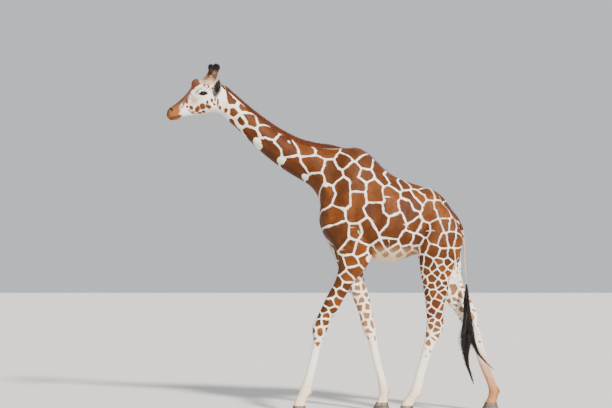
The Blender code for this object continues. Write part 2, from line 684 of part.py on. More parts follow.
def build():
    clear_scene()
    parts = collection("reticulated giraffe")
    tools = collection("cutters")
    flesh = part_flesh(make_flesh(tools), parts, tools)
    open_face(flesh["head"], tools)

    insets = {}
    for word, side in (("left", 1), ("right", -1)):
        insets[f"eye_{word}"] = make_eye(f"eye_{word}", side, parts)
        insets[f"ear_{word}"] = make_ear(f"ear_{word}", side, parts)
        insets[f"ossicone_{word}"] = make_ossicone(f"ossicone_{word}", side, parts)
    for inset in insets.values():
        seat(flesh["head"], inset, tools)

    mane = make_mane(parts)
    for name in ("head", "neck", "trunk"):
        seat(flesh[name], mane, tools)

    tuft = make_tuft(parts, tools)
    tail = tube("tail", [(0.0, *point) for point in TAIL], parts)
    seat(flesh["trunk"], tail, tools)
    seat(tail, tuft, tools)

    hooves = {}
    for leg, (_, x, y) in FEET.items():
        end, word = leg.split("leg_")
        name = f"hoof_{end}_{word}"
        hooves[name] = make_hoof(name, x, y, parts, tools)
        seat(flesh[leg], hooves[name], tools)

    for obj in flesh.values():
        finish_surface(obj, "coat")
    finish_surface(flesh["lower_jaw"], "pale coat")
    for name, obj in insets.items():
        finish_surface(obj, {"eye": "eye", "ear": "pale coat"}.get(name.split("_")[0], "coat"))
    for obj in hooves.values():
        finish_surface(obj, "horn")
    finish_surface(mane, "mane hair")
    finish_surface(tail, "pale coat")
    finish_surface(tuft, "dark hair")
    place_on_floor(parts)


build()
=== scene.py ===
"""Looks of the reticulated giraffe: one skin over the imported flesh, its coat and markings,
mane, tail, eyes, ossicones and hooves, with the floor, light and camera.

Metres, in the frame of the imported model: +Z up, -Y forward, +X the animal's left.
"""

import math

import bmesh
import bpy
import numpy as np
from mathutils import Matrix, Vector
from mathutils.bvhtree import BVHTree


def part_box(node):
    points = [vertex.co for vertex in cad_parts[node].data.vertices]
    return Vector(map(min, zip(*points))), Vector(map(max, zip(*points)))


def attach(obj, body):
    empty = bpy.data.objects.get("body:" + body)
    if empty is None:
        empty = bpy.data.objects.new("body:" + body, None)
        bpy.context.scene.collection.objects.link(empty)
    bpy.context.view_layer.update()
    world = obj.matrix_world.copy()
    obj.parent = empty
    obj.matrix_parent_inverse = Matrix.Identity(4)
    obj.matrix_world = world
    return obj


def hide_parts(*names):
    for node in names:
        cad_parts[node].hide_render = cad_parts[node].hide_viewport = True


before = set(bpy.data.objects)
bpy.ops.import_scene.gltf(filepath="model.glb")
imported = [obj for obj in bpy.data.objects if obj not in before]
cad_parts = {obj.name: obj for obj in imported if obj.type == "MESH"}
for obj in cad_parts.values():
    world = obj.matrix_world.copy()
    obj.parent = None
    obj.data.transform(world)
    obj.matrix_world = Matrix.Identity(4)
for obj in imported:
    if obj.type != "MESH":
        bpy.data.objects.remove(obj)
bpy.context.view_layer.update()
rng = np.random.default_rng(11)

# ---- driving dimensions ------------------------------------------------------------
SKIN_GRAIN = 0.0085          # cell of the skin's mesh on the body
SKIN_SETTLING = 12           # rounds of smoothing once the solids have melted into one
HEAD_CUTS = 2                # the head's cells are split in this many more, each way
HORN_GRAIN = 0.0030          # cell of a hoof's mesh
COAT_DEPTH = 0.0025          # the skin lies this far inside the flesh
OFBAKE_PATCH = 0.003         # breadth of a tuft's patch on the unwrap
SIDES = (1, -1)              # left and right

LEGS = ("foreleg_left", "foreleg_right", "hindleg_left", "hindleg_right")
FLESH = ("head", "lower_jaw", "neck", "trunk", *LEGS)
HOOVES = ("hoof_fore_left", "hoof_fore_right", "hoof_hind_left", "hoof_hind_right")
# heights of the coronet, fetlock, carpus or hock, and elbow or stifle of each leg
JOINTS = {
    "foreleg_left": (0.10, 0.25, 0.88, 1.60),
    "foreleg_right": (0.10, 0.23, 0.86, 1.60),
    "hindleg_left": (0.10, 0.22, 0.90, 1.66),
    "hindleg_right": (0.10, 0.23, 1.08, 1.62),
}


def middle_of(name):
    low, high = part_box(name)
    return (low + high) / 2


# ---- the head's own frame: its middle lies between the eyes --------------------------
EYES = {1: middle_of("eye_left"), -1: middle_of("eye_right")}
EYE_RADIUS = (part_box("eye_left")[1].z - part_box("eye_left")[0].z) / 2
HEAD_MIDDLE = (EYES[1] + EYES[-1]) / 2
HEAD_LEFT = (EYES[1] - EYES[-1]).normalized()
HEAD_FORWARD = HEAD_LEFT.cross(Vector((0, 0, 1))).normalized()
HEAD_AXES = np.array([HEAD_LEFT, HEAD_FORWARD, (0, 0, 1)])
# places and ways in that frame: left, forward, up
EAR_SEAT = (0.070, -0.132, -0.027)
EAR_AXIS = (0.62, -0.10, 0.78)
EAR_OPENS = (0.76, 0.60, -0.30)
EAR_LENGTH = 0.208
EAR_GRID = (46, 30)              # rows along the ear and columns across it
# half width, curl in radians and thickness at shares of the ear's length
EAR_HALVES = ((0, 0.030), (0.12, 0.047), (0.35, 0.056), (0.55, 0.052), (0.75, 0.038), (0.9, 0.021),
              (1.0, 0.003))
EAR_CURLS = ((0, 3.9), (0.12, 2.8), (0.35, 2.2), (0.6, 1.9), (1.0, 1.5))
EAR_THICKS = ((0, 0.0065), (0.3, 0.0045), (1.0, 0.0020))
OSSICONE_SEAT = (0.056, -0.080, 0.108)
OSSICONE_FOOT = (0.050, -0.074, 0.070)
OSSICONE_TIPS = {1: (0.080, -0.145, 0.283), -1: (0.080, -0.126, 0.285)}
OSSICONE_FLARE = 0.052           # how far the foot reaches forward
OSSICONE_GRID = (72, 48)         # rows along the ossicone and columns round it
OSSICONE_RADII = ((0.0, 0.034), (0.14, 0.038), (0.35, 0.0335), (0.62, 0.0290), (0.84, 0.0320), (0.95, 0.0310),
                  (1.0, 0.012))
EYE_LOOKS = (0.94, 0.20, 0.10)
EYE_RUNS = (-0.20, 0.98, -0.10)  # from the back corner of the lids to the front one
LID_HALF = (0.0255, 0.0140)      # half the length and height of the eye's opening
LID_THICKNESS = 0.0028
CORNEA = 0.0016                  # how far the cornea stands off the ball
NOSTRIL = (0.047, 0.318, -0.170)
# lines in that frame: forward, up
MOUTH = ((0.366, -0.280), (0.290, -0.263), (0.212, -0.241))
# the next line runs along the jaw's lower edge, where painted shadow darkens the coat
JAW_SHADOW_LINE = ((0.140, -0.176), (0.098, -0.208), (0.045, -0.215), (-0.008, -0.198))
CROWN_LINE = ((0.010, 0.125), (-0.060, 0.118))
# the next line runs down the fold before each eye, which painted shade darkens
TEAR_FOLD_SHADE_LINE = ((0.010, 0.050), (0.046, 0.032), (0.074, -0.004))
# painted grey shade lies along the next line over each eye
EYE_SHADE_LINE = ((-0.030, 0.026), (0.02, 0.030))    # from the eye's middle
# the nose is brown above this one
NOSE_LINE = ((0.05, 0.095), (0.08, 0.050), (0.114, 0.012), (0.163, -0.068), (0.204, -0.100), (0.26, -0.135),
             (0.32, -0.172), (0.37, -0.225))
# balls that fill the hollows under the ears and ossicones: middle and radii
SEATS = ((EAR_SEAT, (0.030, 0.034, 0.036)), (OSSICONE_SEAT, (0.042, 0.044, 0.036)))

# ---- relief seen from the side: width, height, then (back, up) points along it --------
BODY_RELIEF = (
    (0.060, -0.010, ((-0.03, 2.42), (0.01, 2.05))),                  # before the shoulder blade
    (0.075, 0.012, ((0.22, 2.52), (0.13, 2.22), (0.07, 1.92))),      # its spine
    (0.080, -0.014, ((0.37, 2.42), (0.43, 2.10), (0.46, 1.86))),     # behind the shoulder
    (0.100, 0.012, ((0.27, 2.00), (0.33, 1.76))),                    # triceps
    (0.055, -0.010, ((0.10, 1.76), (0.25, 1.66))),                   # above the forearm
    (0.110, -0.015, ((0.82, 2.10), (0.87, 1.96))),                   # flank
    (0.026, -0.009, ((0.88, 1.70), (0.93, 1.82))),                   # before the thigh
    (0.050, 0.009, ((0.94, 1.66), (1.00, 1.88))),                    # stifle fold
    (0.065, 0.014, ((0.97, 2.22), (1.01, 2.19))),                    # hip bone
    (0.050, -0.010, ((1.14, 2.05), (1.15, 1.72), (1.11, 1.50))),     # back of the thigh
    (0.090, 0.010, ((1.00, 1.70), (1.03, 1.60))),                    # stifle
    (0.050, 0.010, ((1.22, 2.00), (1.24, 1.93))),                    # pin bone
    (0.034, -0.008, ((-1.10, 3.06), (-0.70, 2.78), (-0.16, 2.36))),  # jugular groove
    (0.060, 0.007, ((-1.00, 3.15), (-0.60, 2.86), (-0.20, 2.58))),   # bones of the neck
    (0.030, -0.006, ((-1.02, 3.25), (-0.60, 2.94), (-0.20, 2.76))),  # under the mane
)
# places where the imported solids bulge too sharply: (back, up) and reach
SOFTENED = (((0.12, 2.50), 0.24), ((0.98, 2.20), 0.20), ((1.20, 2.02), 0.16), ((0.04, 1.86), 0.16))
RIBS = 8
RIB_RELIEF = (0.024, 0.0035)
# width, height, then (forward, up) points from between the eyes
HEAD_RELIEF = (
    (0.020, 0.011, ((0.050, 0.028), (0.005, 0.046), (-0.045, 0.026))),      # brow
    (0.020, 0.006, ((-0.060, -0.038), (0.050, -0.052), (0.140, -0.105))),   # cheek bone
    (0.030, -0.009, ((0.085, -0.012), (0.160, -0.075))),                    # before the eye
    (0.065, 0.009, ((-0.020, -0.115), (-0.050, -0.150))),                   # cheek
    (0.028, -0.008, ((-0.075, 0.010), (-0.085, -0.010))),                   # temple
    (0.026, -0.010, ((-0.135, -0.030), (-0.120, -0.165))),                  # throat latch
    (0.022, -0.006, ((0.120, -0.150), (0.215, -0.190))),                    # behind the lips
    (0.016, 0.006, ((0.338, -0.238), (0.272, -0.234), (0.225, -0.222))),    # upper lip
    (0.014, 0.005, ((0.322, -0.292), (0.265, -0.280), (0.215, -0.262))),    # lower lip
    (0.0055, -0.010, MOUTH),
)
# on a leg: landmark in JOINTS, height over it, reach, degrees round from the front, their spread, rise
FETLOCK_RELIEF = (
    (1, 0.000, 0.030, 172, 30, 0.007), (1, 0.000, 0.028, 75, 32, 0.004), (1, -0.055, 0.022, 175, 40, -0.006),
)
FORELEG_RELIEF = (
    (2, 0.020, 0.050, 30, 32, 0.006), (2, -0.045, 0.024, 20, 34, 0.006), (2, -0.012, 0.012, 15, 50, -0.004),
    (2, 0.035, 0.030, 172, 26, 0.009), (2, 0.40, 0.14, 45, 34, 0.006), (2, 0.30, 0.16, 100, 14, -0.006),
)
HINDLEG_RELIEF = (
    (2, 0.000, 0.040, 85, 30, 0.007), (2, -0.060, 0.030, 40, 26, 0.004), (2, 0.14, 0.080, 118, 20, -0.012),
    (2, 0.36, 0.14, 60, 40, 0.006),
)

# ---- markings ----------------------------------------------------------------------
# each big patch is one or more middles, back and up in turn, as seen from the side
NECK_PATCHES = (
    (-1.07, 3.24, -1.03, 3.205), (-1.055, 3.31, -1.00, 3.265), (-0.945, 3.225, -0.89, 3.185),
    (-1.02, 3.095), (-0.955, 3.155, -0.90, 3.125), (-0.95, 3.01), (-0.89, 3.045, -0.84, 2.99),
    (-0.80, 3.06, -0.74, 3.00), (-0.87, 2.90, -0.83, 2.86), (-0.72, 2.91, -0.655, 2.89),
    (-0.70, 2.77, -0.625, 2.69), (-0.635, 2.97, -0.575, 2.92), (-0.515, 2.79, -0.455, 2.72),
    (-0.495, 2.895, -0.41, 2.855), (-0.32, 2.75, -0.27, 2.70), (-0.32, 2.815, -0.24, 2.775),
    (-0.415, 2.565, -0.35, 2.51), (-0.26, 2.575, -0.17, 2.565), (-0.13, 2.70, -0.07, 2.68), (-0.18, 2.38),
    (-1.045, 2.98, -1.005, 2.93),
)
BODY_PATCHES = (
    (0.09, 2.60), (0.19, 2.67), (0.32, 2.57), (0.32, 2.69, 0.40, 2.62), (0.45, 2.51, 0.50, 2.41),
    (0.57, 2.42, 0.63, 2.35), (0.71, 2.345), (0.825, 2.335), (0.915, 2.285, 0.975, 2.245), (1.05, 2.245),
    (1.085, 2.235, 1.11, 2.20), (1.14, 2.16, 1.20, 2.07), (1.24, 2.08), (-0.045, 2.53, -0.005, 2.45),
    (0.19, 2.49, 0.24, 2.355), (0.32, 2.445), (0.40, 2.335, 0.41, 2.235), (0.58, 2.265, 0.57, 2.11),
    (0.76, 2.245, 0.825, 2.165), (0.845, 2.255, 0.875, 2.21), (0.965, 2.145, 0.975, 2.05),
    (1.06, 2.155, 1.11, 2.065), (0.735, 2.135, 0.775, 2.04), (0.085, 2.325, 0.085, 2.205),
    (-0.085, 2.255), (0.24, 2.205, 0.21, 2.05), (0.41, 2.105, 0.46, 1.98), (0.635, 1.98, 0.575, 1.87),
    (0.825, 1.95), (0.915, 1.90), (1.03, 1.92, 1.02, 1.81), (1.13, 1.95), (1.20, 1.94), (1.26, 1.91),
    (0.025, 2.04), (0.065, 1.89, 0.055, 1.80), (0.22, 1.88), (0.33, 1.90, 0.33, 1.81), (0.56, 1.74),
    (0.745, 1.79), (0.835, 1.78), (0.905, 1.73), (1.00, 1.69), (1.105, 1.78), (1.19, 1.80), (1.25, 1.79),
    (1.105, 1.64), (1.19, 1.63), (1.25, 1.64), (0.40, 1.665), (0.465, 1.695), (0.525, 1.645),
    (0.595, 1.690), (0.655, 1.640), (0.725, 1.685), (0.785, 1.655), (0.850, 1.685), (0.155, 1.72),
    (0.27, 1.69), (0.165, 1.57), (0.065, 1.52), (0.195, 1.47), (0.31, 1.60),
)
FORELEG_PATCHES = (
    (0.125, 1.41), (0.045, 1.345), (0.115, 1.325), (0.075, 1.26), (-0.035, 1.24), (-0.045, 1.145),
    (0.030, 1.165), (-0.095, 1.075), (-0.015, 1.065),
)
# broad places of white ground: back, up and radius
BLANKS = (
    (-0.79, 2.79, 0.040), (-0.775, 2.745, 0.034), (-0.965, 2.945, 0.026), (-0.535, 2.60, 0.044),
    (-0.30, 2.43, 0.034), (-0.075, 2.36, 0.022), (0.355, 1.60, 0.034),
)
CREASES = (               # pale creases that run into a patch: back, up from and to
    ((0.500, 2.232), (0.605, 2.218)), ((0.246, 1.885), (0.276, 1.800)), ((0.345, 2.010), (0.415, 1.975)),
    ((0.935, 1.885), (1.060, 1.868)), ((0.270, 2.400), (0.225, 2.440)), ((0.130, 1.905), (0.200, 1.930)),
    ((0.545, 1.790), (0.560, 1.700)), ((-0.470, 2.800), (-0.440, 2.770)), ((0.700, 1.960), (0.760, 1.930)),
    ((0.110, 2.080), (0.060, 2.120)), ((0.860, 2.030), (0.900, 1.980)), ((0.050, 1.700), (0.120, 1.690)),
)
CREASE_HALF = 0.0042         # half the width of a crease where it starts
FAR_SHIFT = (0.03, -0.02)    # the right side's patches are the left's, moved by this
FAR_STRAY = 0.03             # and by up to this, each its own way
TWINS = 0.55                 # share of the right side's patches that meet their left twin in one
WOBBLE = 0.0050              # how far the patches' edges stray
CORNER = 0.0034              # how round the patches' corners are
LINE = {"neck": 0.0102, "trunk": 0.0090, "rump": 0.0060}     # half the width of the white lines
LINE_SWING = 0.20            # how far they vary
# small patches of the legs: height of a row, breadth, how far under the joint they start, where they end
LEG_ROWS = {
    "foreleg_left": (0.074, 0.095, 0.32, 1.06),
    "foreleg_right": (0.074, 0.095, 0.32, 1.62),
    "hindleg_left": (0.048, 0.104, 0.50, 1.60),
    "hindleg_right": (0.048, 0.104, 0.50, 1.60),
}
# lines of the legs: half width, heights from the joint where they start and stop to widen,
# how much they widen, and heights from it where the patches are gone and whole
FORELEG_LINES = (0.0078, 0.10, -0.26, 0.024, -0.34, -0.16)
HINDLEG_LINES = (0.0056, 0.16, -0.28, 0.013, -0.56, -0.30)
# how much wider they are inside each leg
INNER_LINE = {"foreleg_left": 0.010, "foreleg_right": 0.004, "hindleg_left": 0.013, "hindleg_right": 0.007}
# spots of the face: forward, up, half length, half height, lean in degrees, from between the eyes
FACE_SPOTS = (
    (0.192, -0.112, 0.007, 0.030, 8), (0.162, -0.085, 0.012, 0.026, 0), (0.118, -0.152, 0.017, 0.027, -18),
    (0.160, -0.140, 0.011, 0.016, 0), (0.056, -0.166, 0.025, 0.032, 14), (0.002, -0.138, 0.030, 0.028, -10),
    (-0.058, -0.140, 0.030, 0.019, 28), (-0.045, -0.094, 0.014, 0.020, 0), (-0.093, -0.074, 0.014, 0.022, 0),
    (-0.117, -0.114, 0.014, 0.016, 0), (-0.128, -0.068, 0.010, 0.017, 0), (-0.155, -0.098, 0.010, 0.040, 0),
    (-0.182, -0.146, 0.013, 0.022, -10), (-0.236, -0.176, 0.016, 0.026, 0), (0.028, -0.205, 0.018, 0.011, 0),
    (-0.012, -0.190, 0.022, 0.012, 10), (0.095, -0.197, 0.014, 0.010, 0), (0.205, -0.150, 0.006, 0.014, 0),
    (-0.018, 0.072, 0.013, 0.011, 40), (-0.040, 0.050, 0.011, 0.009, 30), (-0.062, 0.066, 0.010, 0.012, 0),
    (-0.070, 0.036, 0.009, 0.010, 0), (-0.052, 0.092, 0.011, 0.013, 0), (-0.092, 0.050, 0.009, 0.011, 0),
    (-0.030, 0.096, 0.010, 0.012, 20),
)
SPOT_SIZE = 1.05             # how much larger they are than listed
# up, forward: the spots of the face begin before this line
FACE_EDGE = ((-0.30, -0.285), (-0.20, -0.27), (-0.08, -0.255), (0.02, -0.235), (0.12, -0.15))

# ---- hair: how many tufts of each kind, their length and width -------------------------
TRUNK_COAT = (62000, 0.0135, 0.0023)
NECK_COAT = (40000, 0.0110, 0.0020)
HEAD_COAT = (46000, 0.0064, 0.0010)
LEG_COAT = (60000, 0.0100, 0.0018)
# looser tufts, with how far they stand off
BELLY_HAIR = (5200, 0.026, 0.0024, 0.26)
BRISKET_HAIR = (3000, 0.020, 0.0022, 0.22)
FETLOCK_HAIR = (3600, 0.024, 0.0018, 0.30)
CORONET_HAIR = (5200, 0.026, 0.0017, 0.16)
BACK_HAIR = (3200, 0.021, 0.0020, 0.75)
EAR_RIM_HAIRS = 1000
WHISKERS = 170
MANE_HAIRS = 15000
OSSICONE_HAIRS = 5200
# side of the lids, number and length of the lashes
LASHES = ((1, 230, 0.030), (-1, 70, 0.010))
TAIL_HAIRS = (1500, 650, 420)
TAIL_STEPS = 18              # points along each hair
STRAY_SHARE = 0.14           # of the tail's hairs
TUFT_LOCKS = (               # x, y, z and radius along each lock of the tail's tuft
    ((0.000, 1.359, 1.335, 0.010), (0.000, 1.361, 1.270, 0.022), (0.000, 1.360, 1.180, 0.036),
     (0.002, 1.366, 0.960, 0.046), (0.004, 1.362, 0.780, 0.060), (0.004, 1.354, 0.640, 0.026),
     (0.010, 1.364, 0.520, 0.012), (0.014, 1.396, 0.420, 0.009), (0.020, 1.436, 0.300, 0.004)),
    ((-0.004, 1.368, 1.180, 0.016), (-0.012, 1.396, 0.950, 0.026), (-0.016, 1.421, 0.770, 0.024),
     (-0.020, 1.471, 0.640, 0.014), (-0.020, 1.548, 0.540, 0.009), (-0.016, 1.650, 0.448, 0.004)),
    ((0.010, 1.356, 1.150, 0.014), (0.030, 1.341, 0.900, 0.026), (0.036, 1.331, 0.740, 0.026),
     (0.030, 1.346, 0.610, 0.010), (0.026, 1.368, 0.520, 0.004)),
)

# ---- stage -----------------------------------------------------------------------------
FLOOR_SIZE = 60
SKY = (0.93, 0.96, 1.0)
SKY_STRENGTH = 0.70
SUN_ENERGY = 8.4
SUN_WAY = (-0.80, -0.42, -0.60)
CAMERA_PLACE = (22.0, -0.287, 2.155)
FOCAL_LENGTH = 126.1         # in mm, on a film 36 mm wide


# ---- small tools -------------------------------------------------------------------
def in_head(points):
    return (np.asarray(points) - np.array(HEAD_MIDDLE)) @ HEAD_AXES.T


def from_head(points):
    return np.asarray(points) @ HEAD_AXES + np.array(HEAD_MIDDLE)


def mirrored(place, side):
    return np.array((side * place[0], *place[1:]))


def both_sides(place):
    return [mirrored(place, side) for side in SIDES]


def side_name(stem, side):
    return stem + ("_left" if side > 0 else "_right")


def side_of(name):
    return 1 if name.endswith("left") else -1


def smoothstep(low, high, value):
    t = np.clip((value - low) / (high - low), 0, 1)
    return t * t * (3 - 2 * t)


def unit(vectors):
    return vectors / np.maximum(np.linalg.norm(vectors, axis=-1, keepdims=True), 1e-9)


def ripple(points, scale, seed, count=7):
    """A smooth pseudo-random value between about -1 and 1 at each point."""
    draw = np.random.default_rng(seed)
    ways = unit(draw.normal(size=(count, 3))) * draw.uniform(0.7, 1.5, (count, 1))
    phases = draw.uniform(0, 2 * math.pi, count)
    return np.sin(points @ ways.T * (2 * math.pi / scale) + phases).sum(1) / math.sqrt(count)


def solid(name):
    """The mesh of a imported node."""
    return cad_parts[name].data


def new_object(name, mesh):
    obj = bpy.data.objects.new(name, mesh)
    bpy.context.scene.collection.objects.link(obj)
    return obj


def mesh_of(name, points, faces):
    """A mesh from arrays: points, and faces of three or four corners each."""
    mesh = bpy.data.meshes.new(name)
    faces = np.asarray(faces, dtype=np.int32)
    corners = faces.shape[1]
    mesh.vertices.add(len(points))
    mesh.vertices.foreach_set("co", np.asarray(points, dtype=np.float32).ravel())
    mesh.loops.add(faces.size)
    mesh.loops.foreach_set("vertex_index", faces.ravel())
    mesh.polygons.add(len(faces))
    mesh.polygons.foreach_set("loop_start", np.arange(len(faces), dtype=np.int32) * corners)
    mesh.update(calc_edges=True)
    return mesh


def baked(obj):
    """Gives an object the mesh that its modifiers make."""
    depsgraph = bpy.context.evaluated_depsgraph_get()
    depsgraph.update()
    mesh = bpy.data.meshes.new_from_object(obj.evaluated_get(depsgraph))
    obj.modifiers.clear()
    obj.data = mesh
    return obj


def read(items, key, width=1, kind=np.float32):
    """One number, or a row of them, from each item of a mesh's collection."""
    flat = np.empty(len(items) * width, dtype=kind)
    items.foreach_get(key, flat)
    return flat.reshape(-1, width) if width > 1 else flat


def points_of(mesh):
    return read(mesh.vertices, "co", 3).astype(float)


def normals_of(mesh):
    return read(mesh.vertex_normals, "vector", 3).astype(float)


def edges_of(mesh):
    return read(mesh.edges, "vertices", 2, np.int32)


def tree_of(mesh):
    """The mesh's surface, for rays and nearest points."""
    return BVHTree.FromPolygons(points_of(mesh).tolist(), [tuple(face.vertices) for face in mesh.polygons])


def set_points(mesh, points):
    mesh.vertices.foreach_set("co", points.astype(np.float32).ravel())
    mesh.update()


def arrays_of(bm):
    """A bmesh's points and faces, after which it is gone."""
    bm.verts.index_update()
    points = np.array([vert.co[:] for vert in bm.verts])
    faces = np.array([[vert.index for vert in face.verts] for face in bm.faces])
    bm.free()
    return points, faces


def spread(values, edges, rounds, weight=0.5):
    """Averages each vertex's values with its neighbours', some rounds over."""
    count = len(values)
    degree = np.maximum(np.bincount(edges.ravel(), minlength=count), 1)[:, None]
    near, far = edges[:, 0], edges[:, 1]
    weight = np.broadcast_to(np.asarray(weight, dtype=float), (count,))[:, None]
    for _ in range(rounds):
        total = np.stack([np.bincount(near, values[far, axis], count)
                          + np.bincount(far, values[near, axis], count)
                          for axis in range(values.shape[1])], axis=1)
        values = values + weight * (total / degree - values)
    return values


def melt(obj, cell, rounds):
    """Makes one even mesh of an object's shells, and smooths it."""
    remesh = obj.modifiers.new("melt", "REMESH")
    remesh.mode = "VOXEL"
    remesh.voxel_size = cell
    mesh = baked(obj).data
    set_points(mesh, spread(points_of(mesh), edges_of(mesh), rounds))


def store(mesh, name, values):
    """Keeps a value, or a colour, at each vertex for the materials to read."""
    values = np.asarray(values, dtype=np.float32)
    if values.ndim == 1:
        mesh.attributes.new(name, "FLOAT", "POINT").data.foreach_set("value", values)
    else:
        flat = np.ones((len(values), 4), dtype=np.float32)
        flat[:, :values.shape[1]] = values
        mesh.attributes.new(name, "FLOAT_COLOR", "POINT").data.foreach_set("color", flat.ravel())


def hue(red, green, blue):
    """A screen colour, 0 to 255, as the linear light that materials take."""
    value = np.array((red, green, blue)) / 255
    return np.where(value > 0.04045, ((value + 0.055) / 1.055) ** 2.4, value / 12.92)


def mix(colour, other, share):
    return colour + (np.asarray(other) - colour) * np.asarray(share)[:, None]


def off_line(places, line):
    """How far each place, of two or three numbers, is from a line of points."""
    line = np.asarray(line, dtype=float)
    nearest = np.full(len(places), np.inf)
    for start, end in zip(line[:-1], line[1:]):
        way = end - start
        along = np.clip((places - start) @ way / (way @ way), 0, 1)
        nearest = np.minimum(nearest, np.linalg.norm(places - start - along[:, None] * way, axis=1))
    return nearest


def on_line(places, line, width):
    """1 on a line, fading away from it."""
    return np.exp(-(off_line(places, line) / width) ** 2)


# ---- colours -----------------------------------------------------------------------
PATCH = hue(98, 47, 4)
PATCH_DARK = hue(61, 28, 2)
PATCH_LIGHT = hue(123, 66, 9)
PATCH_PALE = hue(222, 168, 118)
WHITE = hue(250, 242, 230)
CREAM = hue(240, 218, 180)
TAN = hue(158, 97, 42)
ORANGE = hue(182, 116, 58)
KNEE = hue(190, 150, 100)
TAIL_STEM = hue(206, 150, 104)
NOSE_BROWN = hue(88, 52, 37)
NOSE_TIP = hue(108, 64, 37)
MUZZLE = hue(136, 80, 30)
CROWN = hue(168, 120, 88)
LUMP = hue(98, 54, 32)
CHEEK = hue(178, 142, 114)
EYE_BLACK = hue(20, 15, 14)
# grey of the painted shade over each eye
EYE_SHADE_GREY = hue(150, 142, 136)
DARK = hue(38, 30, 28)
EAR_PALE = hue(236, 224, 208)
# near black: the ear's darker inner skin together with painted shade of its hollow and opening
EAR_INSIDE_AND_SHADE = hue(46, 38, 40)
# lines of painted shade on the head, in the crease between the lips, the fold before each eye and under the
# jaw's edge: points, width, how far off the midline they start, strength, colour
HEAD_SHADE_LINES = (
    (MOUTH, 0.009, 0.004, 0.75, NOSE_BROWN),
    (TEAR_FOLD_SHADE_LINE, 0.0085, 0.05, 0.75, hue(84, 62, 52)),
    (JAW_SHADOW_LINE, 0.0072, 0.02, 0.92, hue(60, 44, 34)),
)


# ---- skin: form --------------------------------------------------------------------
def rounded_faces(mesh, cuts=4, bulge=0.75):
    """The mesh's triangles, each split and bent to its corner normals, as loose triangles."""
    work = mesh.copy()
    bm = bmesh.new()
    bm.from_mesh(work)
    bmesh.ops.remove_doubles(bm, verts=bm.verts[:], dist=1e-5)
    bmesh.ops.triangulate(bm, faces=bm.faces[:])
    bm.to_mesh(work)
    bm.free()
    if work.has_custom_normals:
        work.attributes.remove(work.attributes["custom_normal"])
    work.set_sharp_from_angle(angle=math.radians(38))
    work.polygons.foreach_set("use_smooth", np.ones(len(work.polygons), dtype=bool))
    corner = read(work.loops, "vertex_index", 1, np.int32)
    triangles = points_of(work)[corner].reshape(-1, 3, 3)
    normals = read(work.corner_normals, "vector", 3).reshape(-1, 3, 3).astype(float)
    bpy.data.meshes.remove(work)

    spots = [(a, b) for a in range(cuts + 1) for b in range(cuts + 1 - a)]
    at = {spot: index for index, spot in enumerate(spots)}
    small = [(at[a, b], at[a + 1, b], at[a, b + 1])
             for a in range(cuts) for b in range(cuts - a)]
    small += [(at[a + 1, b], at[a + 1, b + 1], at[a, b + 1])
              for a in range(cuts) for b in range(cuts - a - 1)]
    weights = np.array([(a, b, cuts - a - b) for a, b in spots]) / cuts
    flat_points = np.einsum("wc,tcx->twx", weights, triangles)
    height = np.einsum("twcx,tcx->twc", flat_points[:, :, None] - triangles[:, None], normals)
    lifted = flat_points[:, :, None] - height[..., None] * normals[:, None]
    bent = np.einsum("wc,twcx->twx", weights, lifted)
    result = flat_points * (1 - bulge) + bent * bulge
    offsets = np.arange(len(triangles))[:, None, None] * len(weights)
    return result.reshape(-1, 3), (np.array(small)[None] + offsets).reshape(-1, 3)


def ball(middle, radii, segments=16):
    bm = bmesh.new()
    bmesh.ops.create_uvsphere(bm, u_segments=segments, v_segments=segments // 2, radius=1.0)
    bmesh.ops.triangulate(bm, faces=bm.faces[:])
    points, faces = arrays_of(bm)
    return points * radii + np.array(middle), faces


def coronet_band(name):
    """The top of a hoof, a little wider, so that the skin laps over the horn."""
    bm = bmesh.new()
    bm.from_mesh(solid(name))
    bmesh.ops.remove_doubles(bm, verts=bm.verts[:], dist=1e-5)
    bmesh.ops.bisect_plane(bm, geom=bm.verts[:] + bm.edges[:] + bm.faces[:], clear_inner=True,
                           plane_co=(0, 0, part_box(name)[1].z * 0.80), plane_no=(0, 0, 1))
    bmesh.ops.holes_fill(bm, edges=[edge for edge in bm.edges if edge.is_boundary])
    bmesh.ops.convex_hull(bm, input=bm.verts[:])
    bmesh.ops.triangulate(bm, faces=bm.faces[:])
    points, faces = arrays_of(bm)
    middle = middle_of(name).x
    points[:, 0] = middle + (points[:, 0] - middle) * 1.05
    return points, faces


def rough_skin():
    """One closed mesh over all the flesh, with the seats of eyes, ears and hair filled."""
    shapes = [rounded_faces(solid(name)) for name in (*FLESH, "tail")]
    shapes += [rounded_faces(solid(name), 2) for name in ("eye_left", "eye_right")]
    points, faces = rounded_faces(solid("mane"), 2)
    shapes.append((points + (0, -0.016, -0.038), faces))
    for seat, radii in SEATS:
        shapes += [ball(from_head(place), radii) for place in both_sides(seat)]
    shapes += [coronet_band(name) for name in HOOVES]
    starts = np.cumsum([0] + [len(points) for points, _ in shapes[:-1]])
    points = np.concatenate([points for points, _ in shapes])
    faces = np.concatenate([faces + start for (_, faces), start in zip(shapes, starts)])
    skin = new_object("skin", mesh_of("skin", points, faces))
    melt(skin, SKIN_GRAIN, SKIN_SETTLING)
    return skin


def refine(skin, wanted, cuts):
    """Splits the faces all of whose corners are wanted into smaller ones."""
    bm = bmesh.new()
    bm.from_mesh(skin.data)
    bm.verts.ensure_lookup_table()
    edges = [edge for edge in bm.edges if wanted[edge.verts[0].index] and wanted[edge.verts[1].index]]
    bmesh.ops.subdivide_edges(bm, edges=edges, cuts=cuts, use_grid_fill=True)
    bmesh.ops.triangulate(bm, faces=[face for face in bm.faces if len(face.verts) > 4])
    bm.to_mesh(skin.data)
    bm.free()


def head_share(points):
    """One on the head, falling to nothing just behind the throat."""
    local = in_head(points)
    return smoothstep(-0.26, -0.20, local[:, 1] - 0.25 * np.minimum(local[:, 2], 0)) * (points[:, 2] > 2.8)


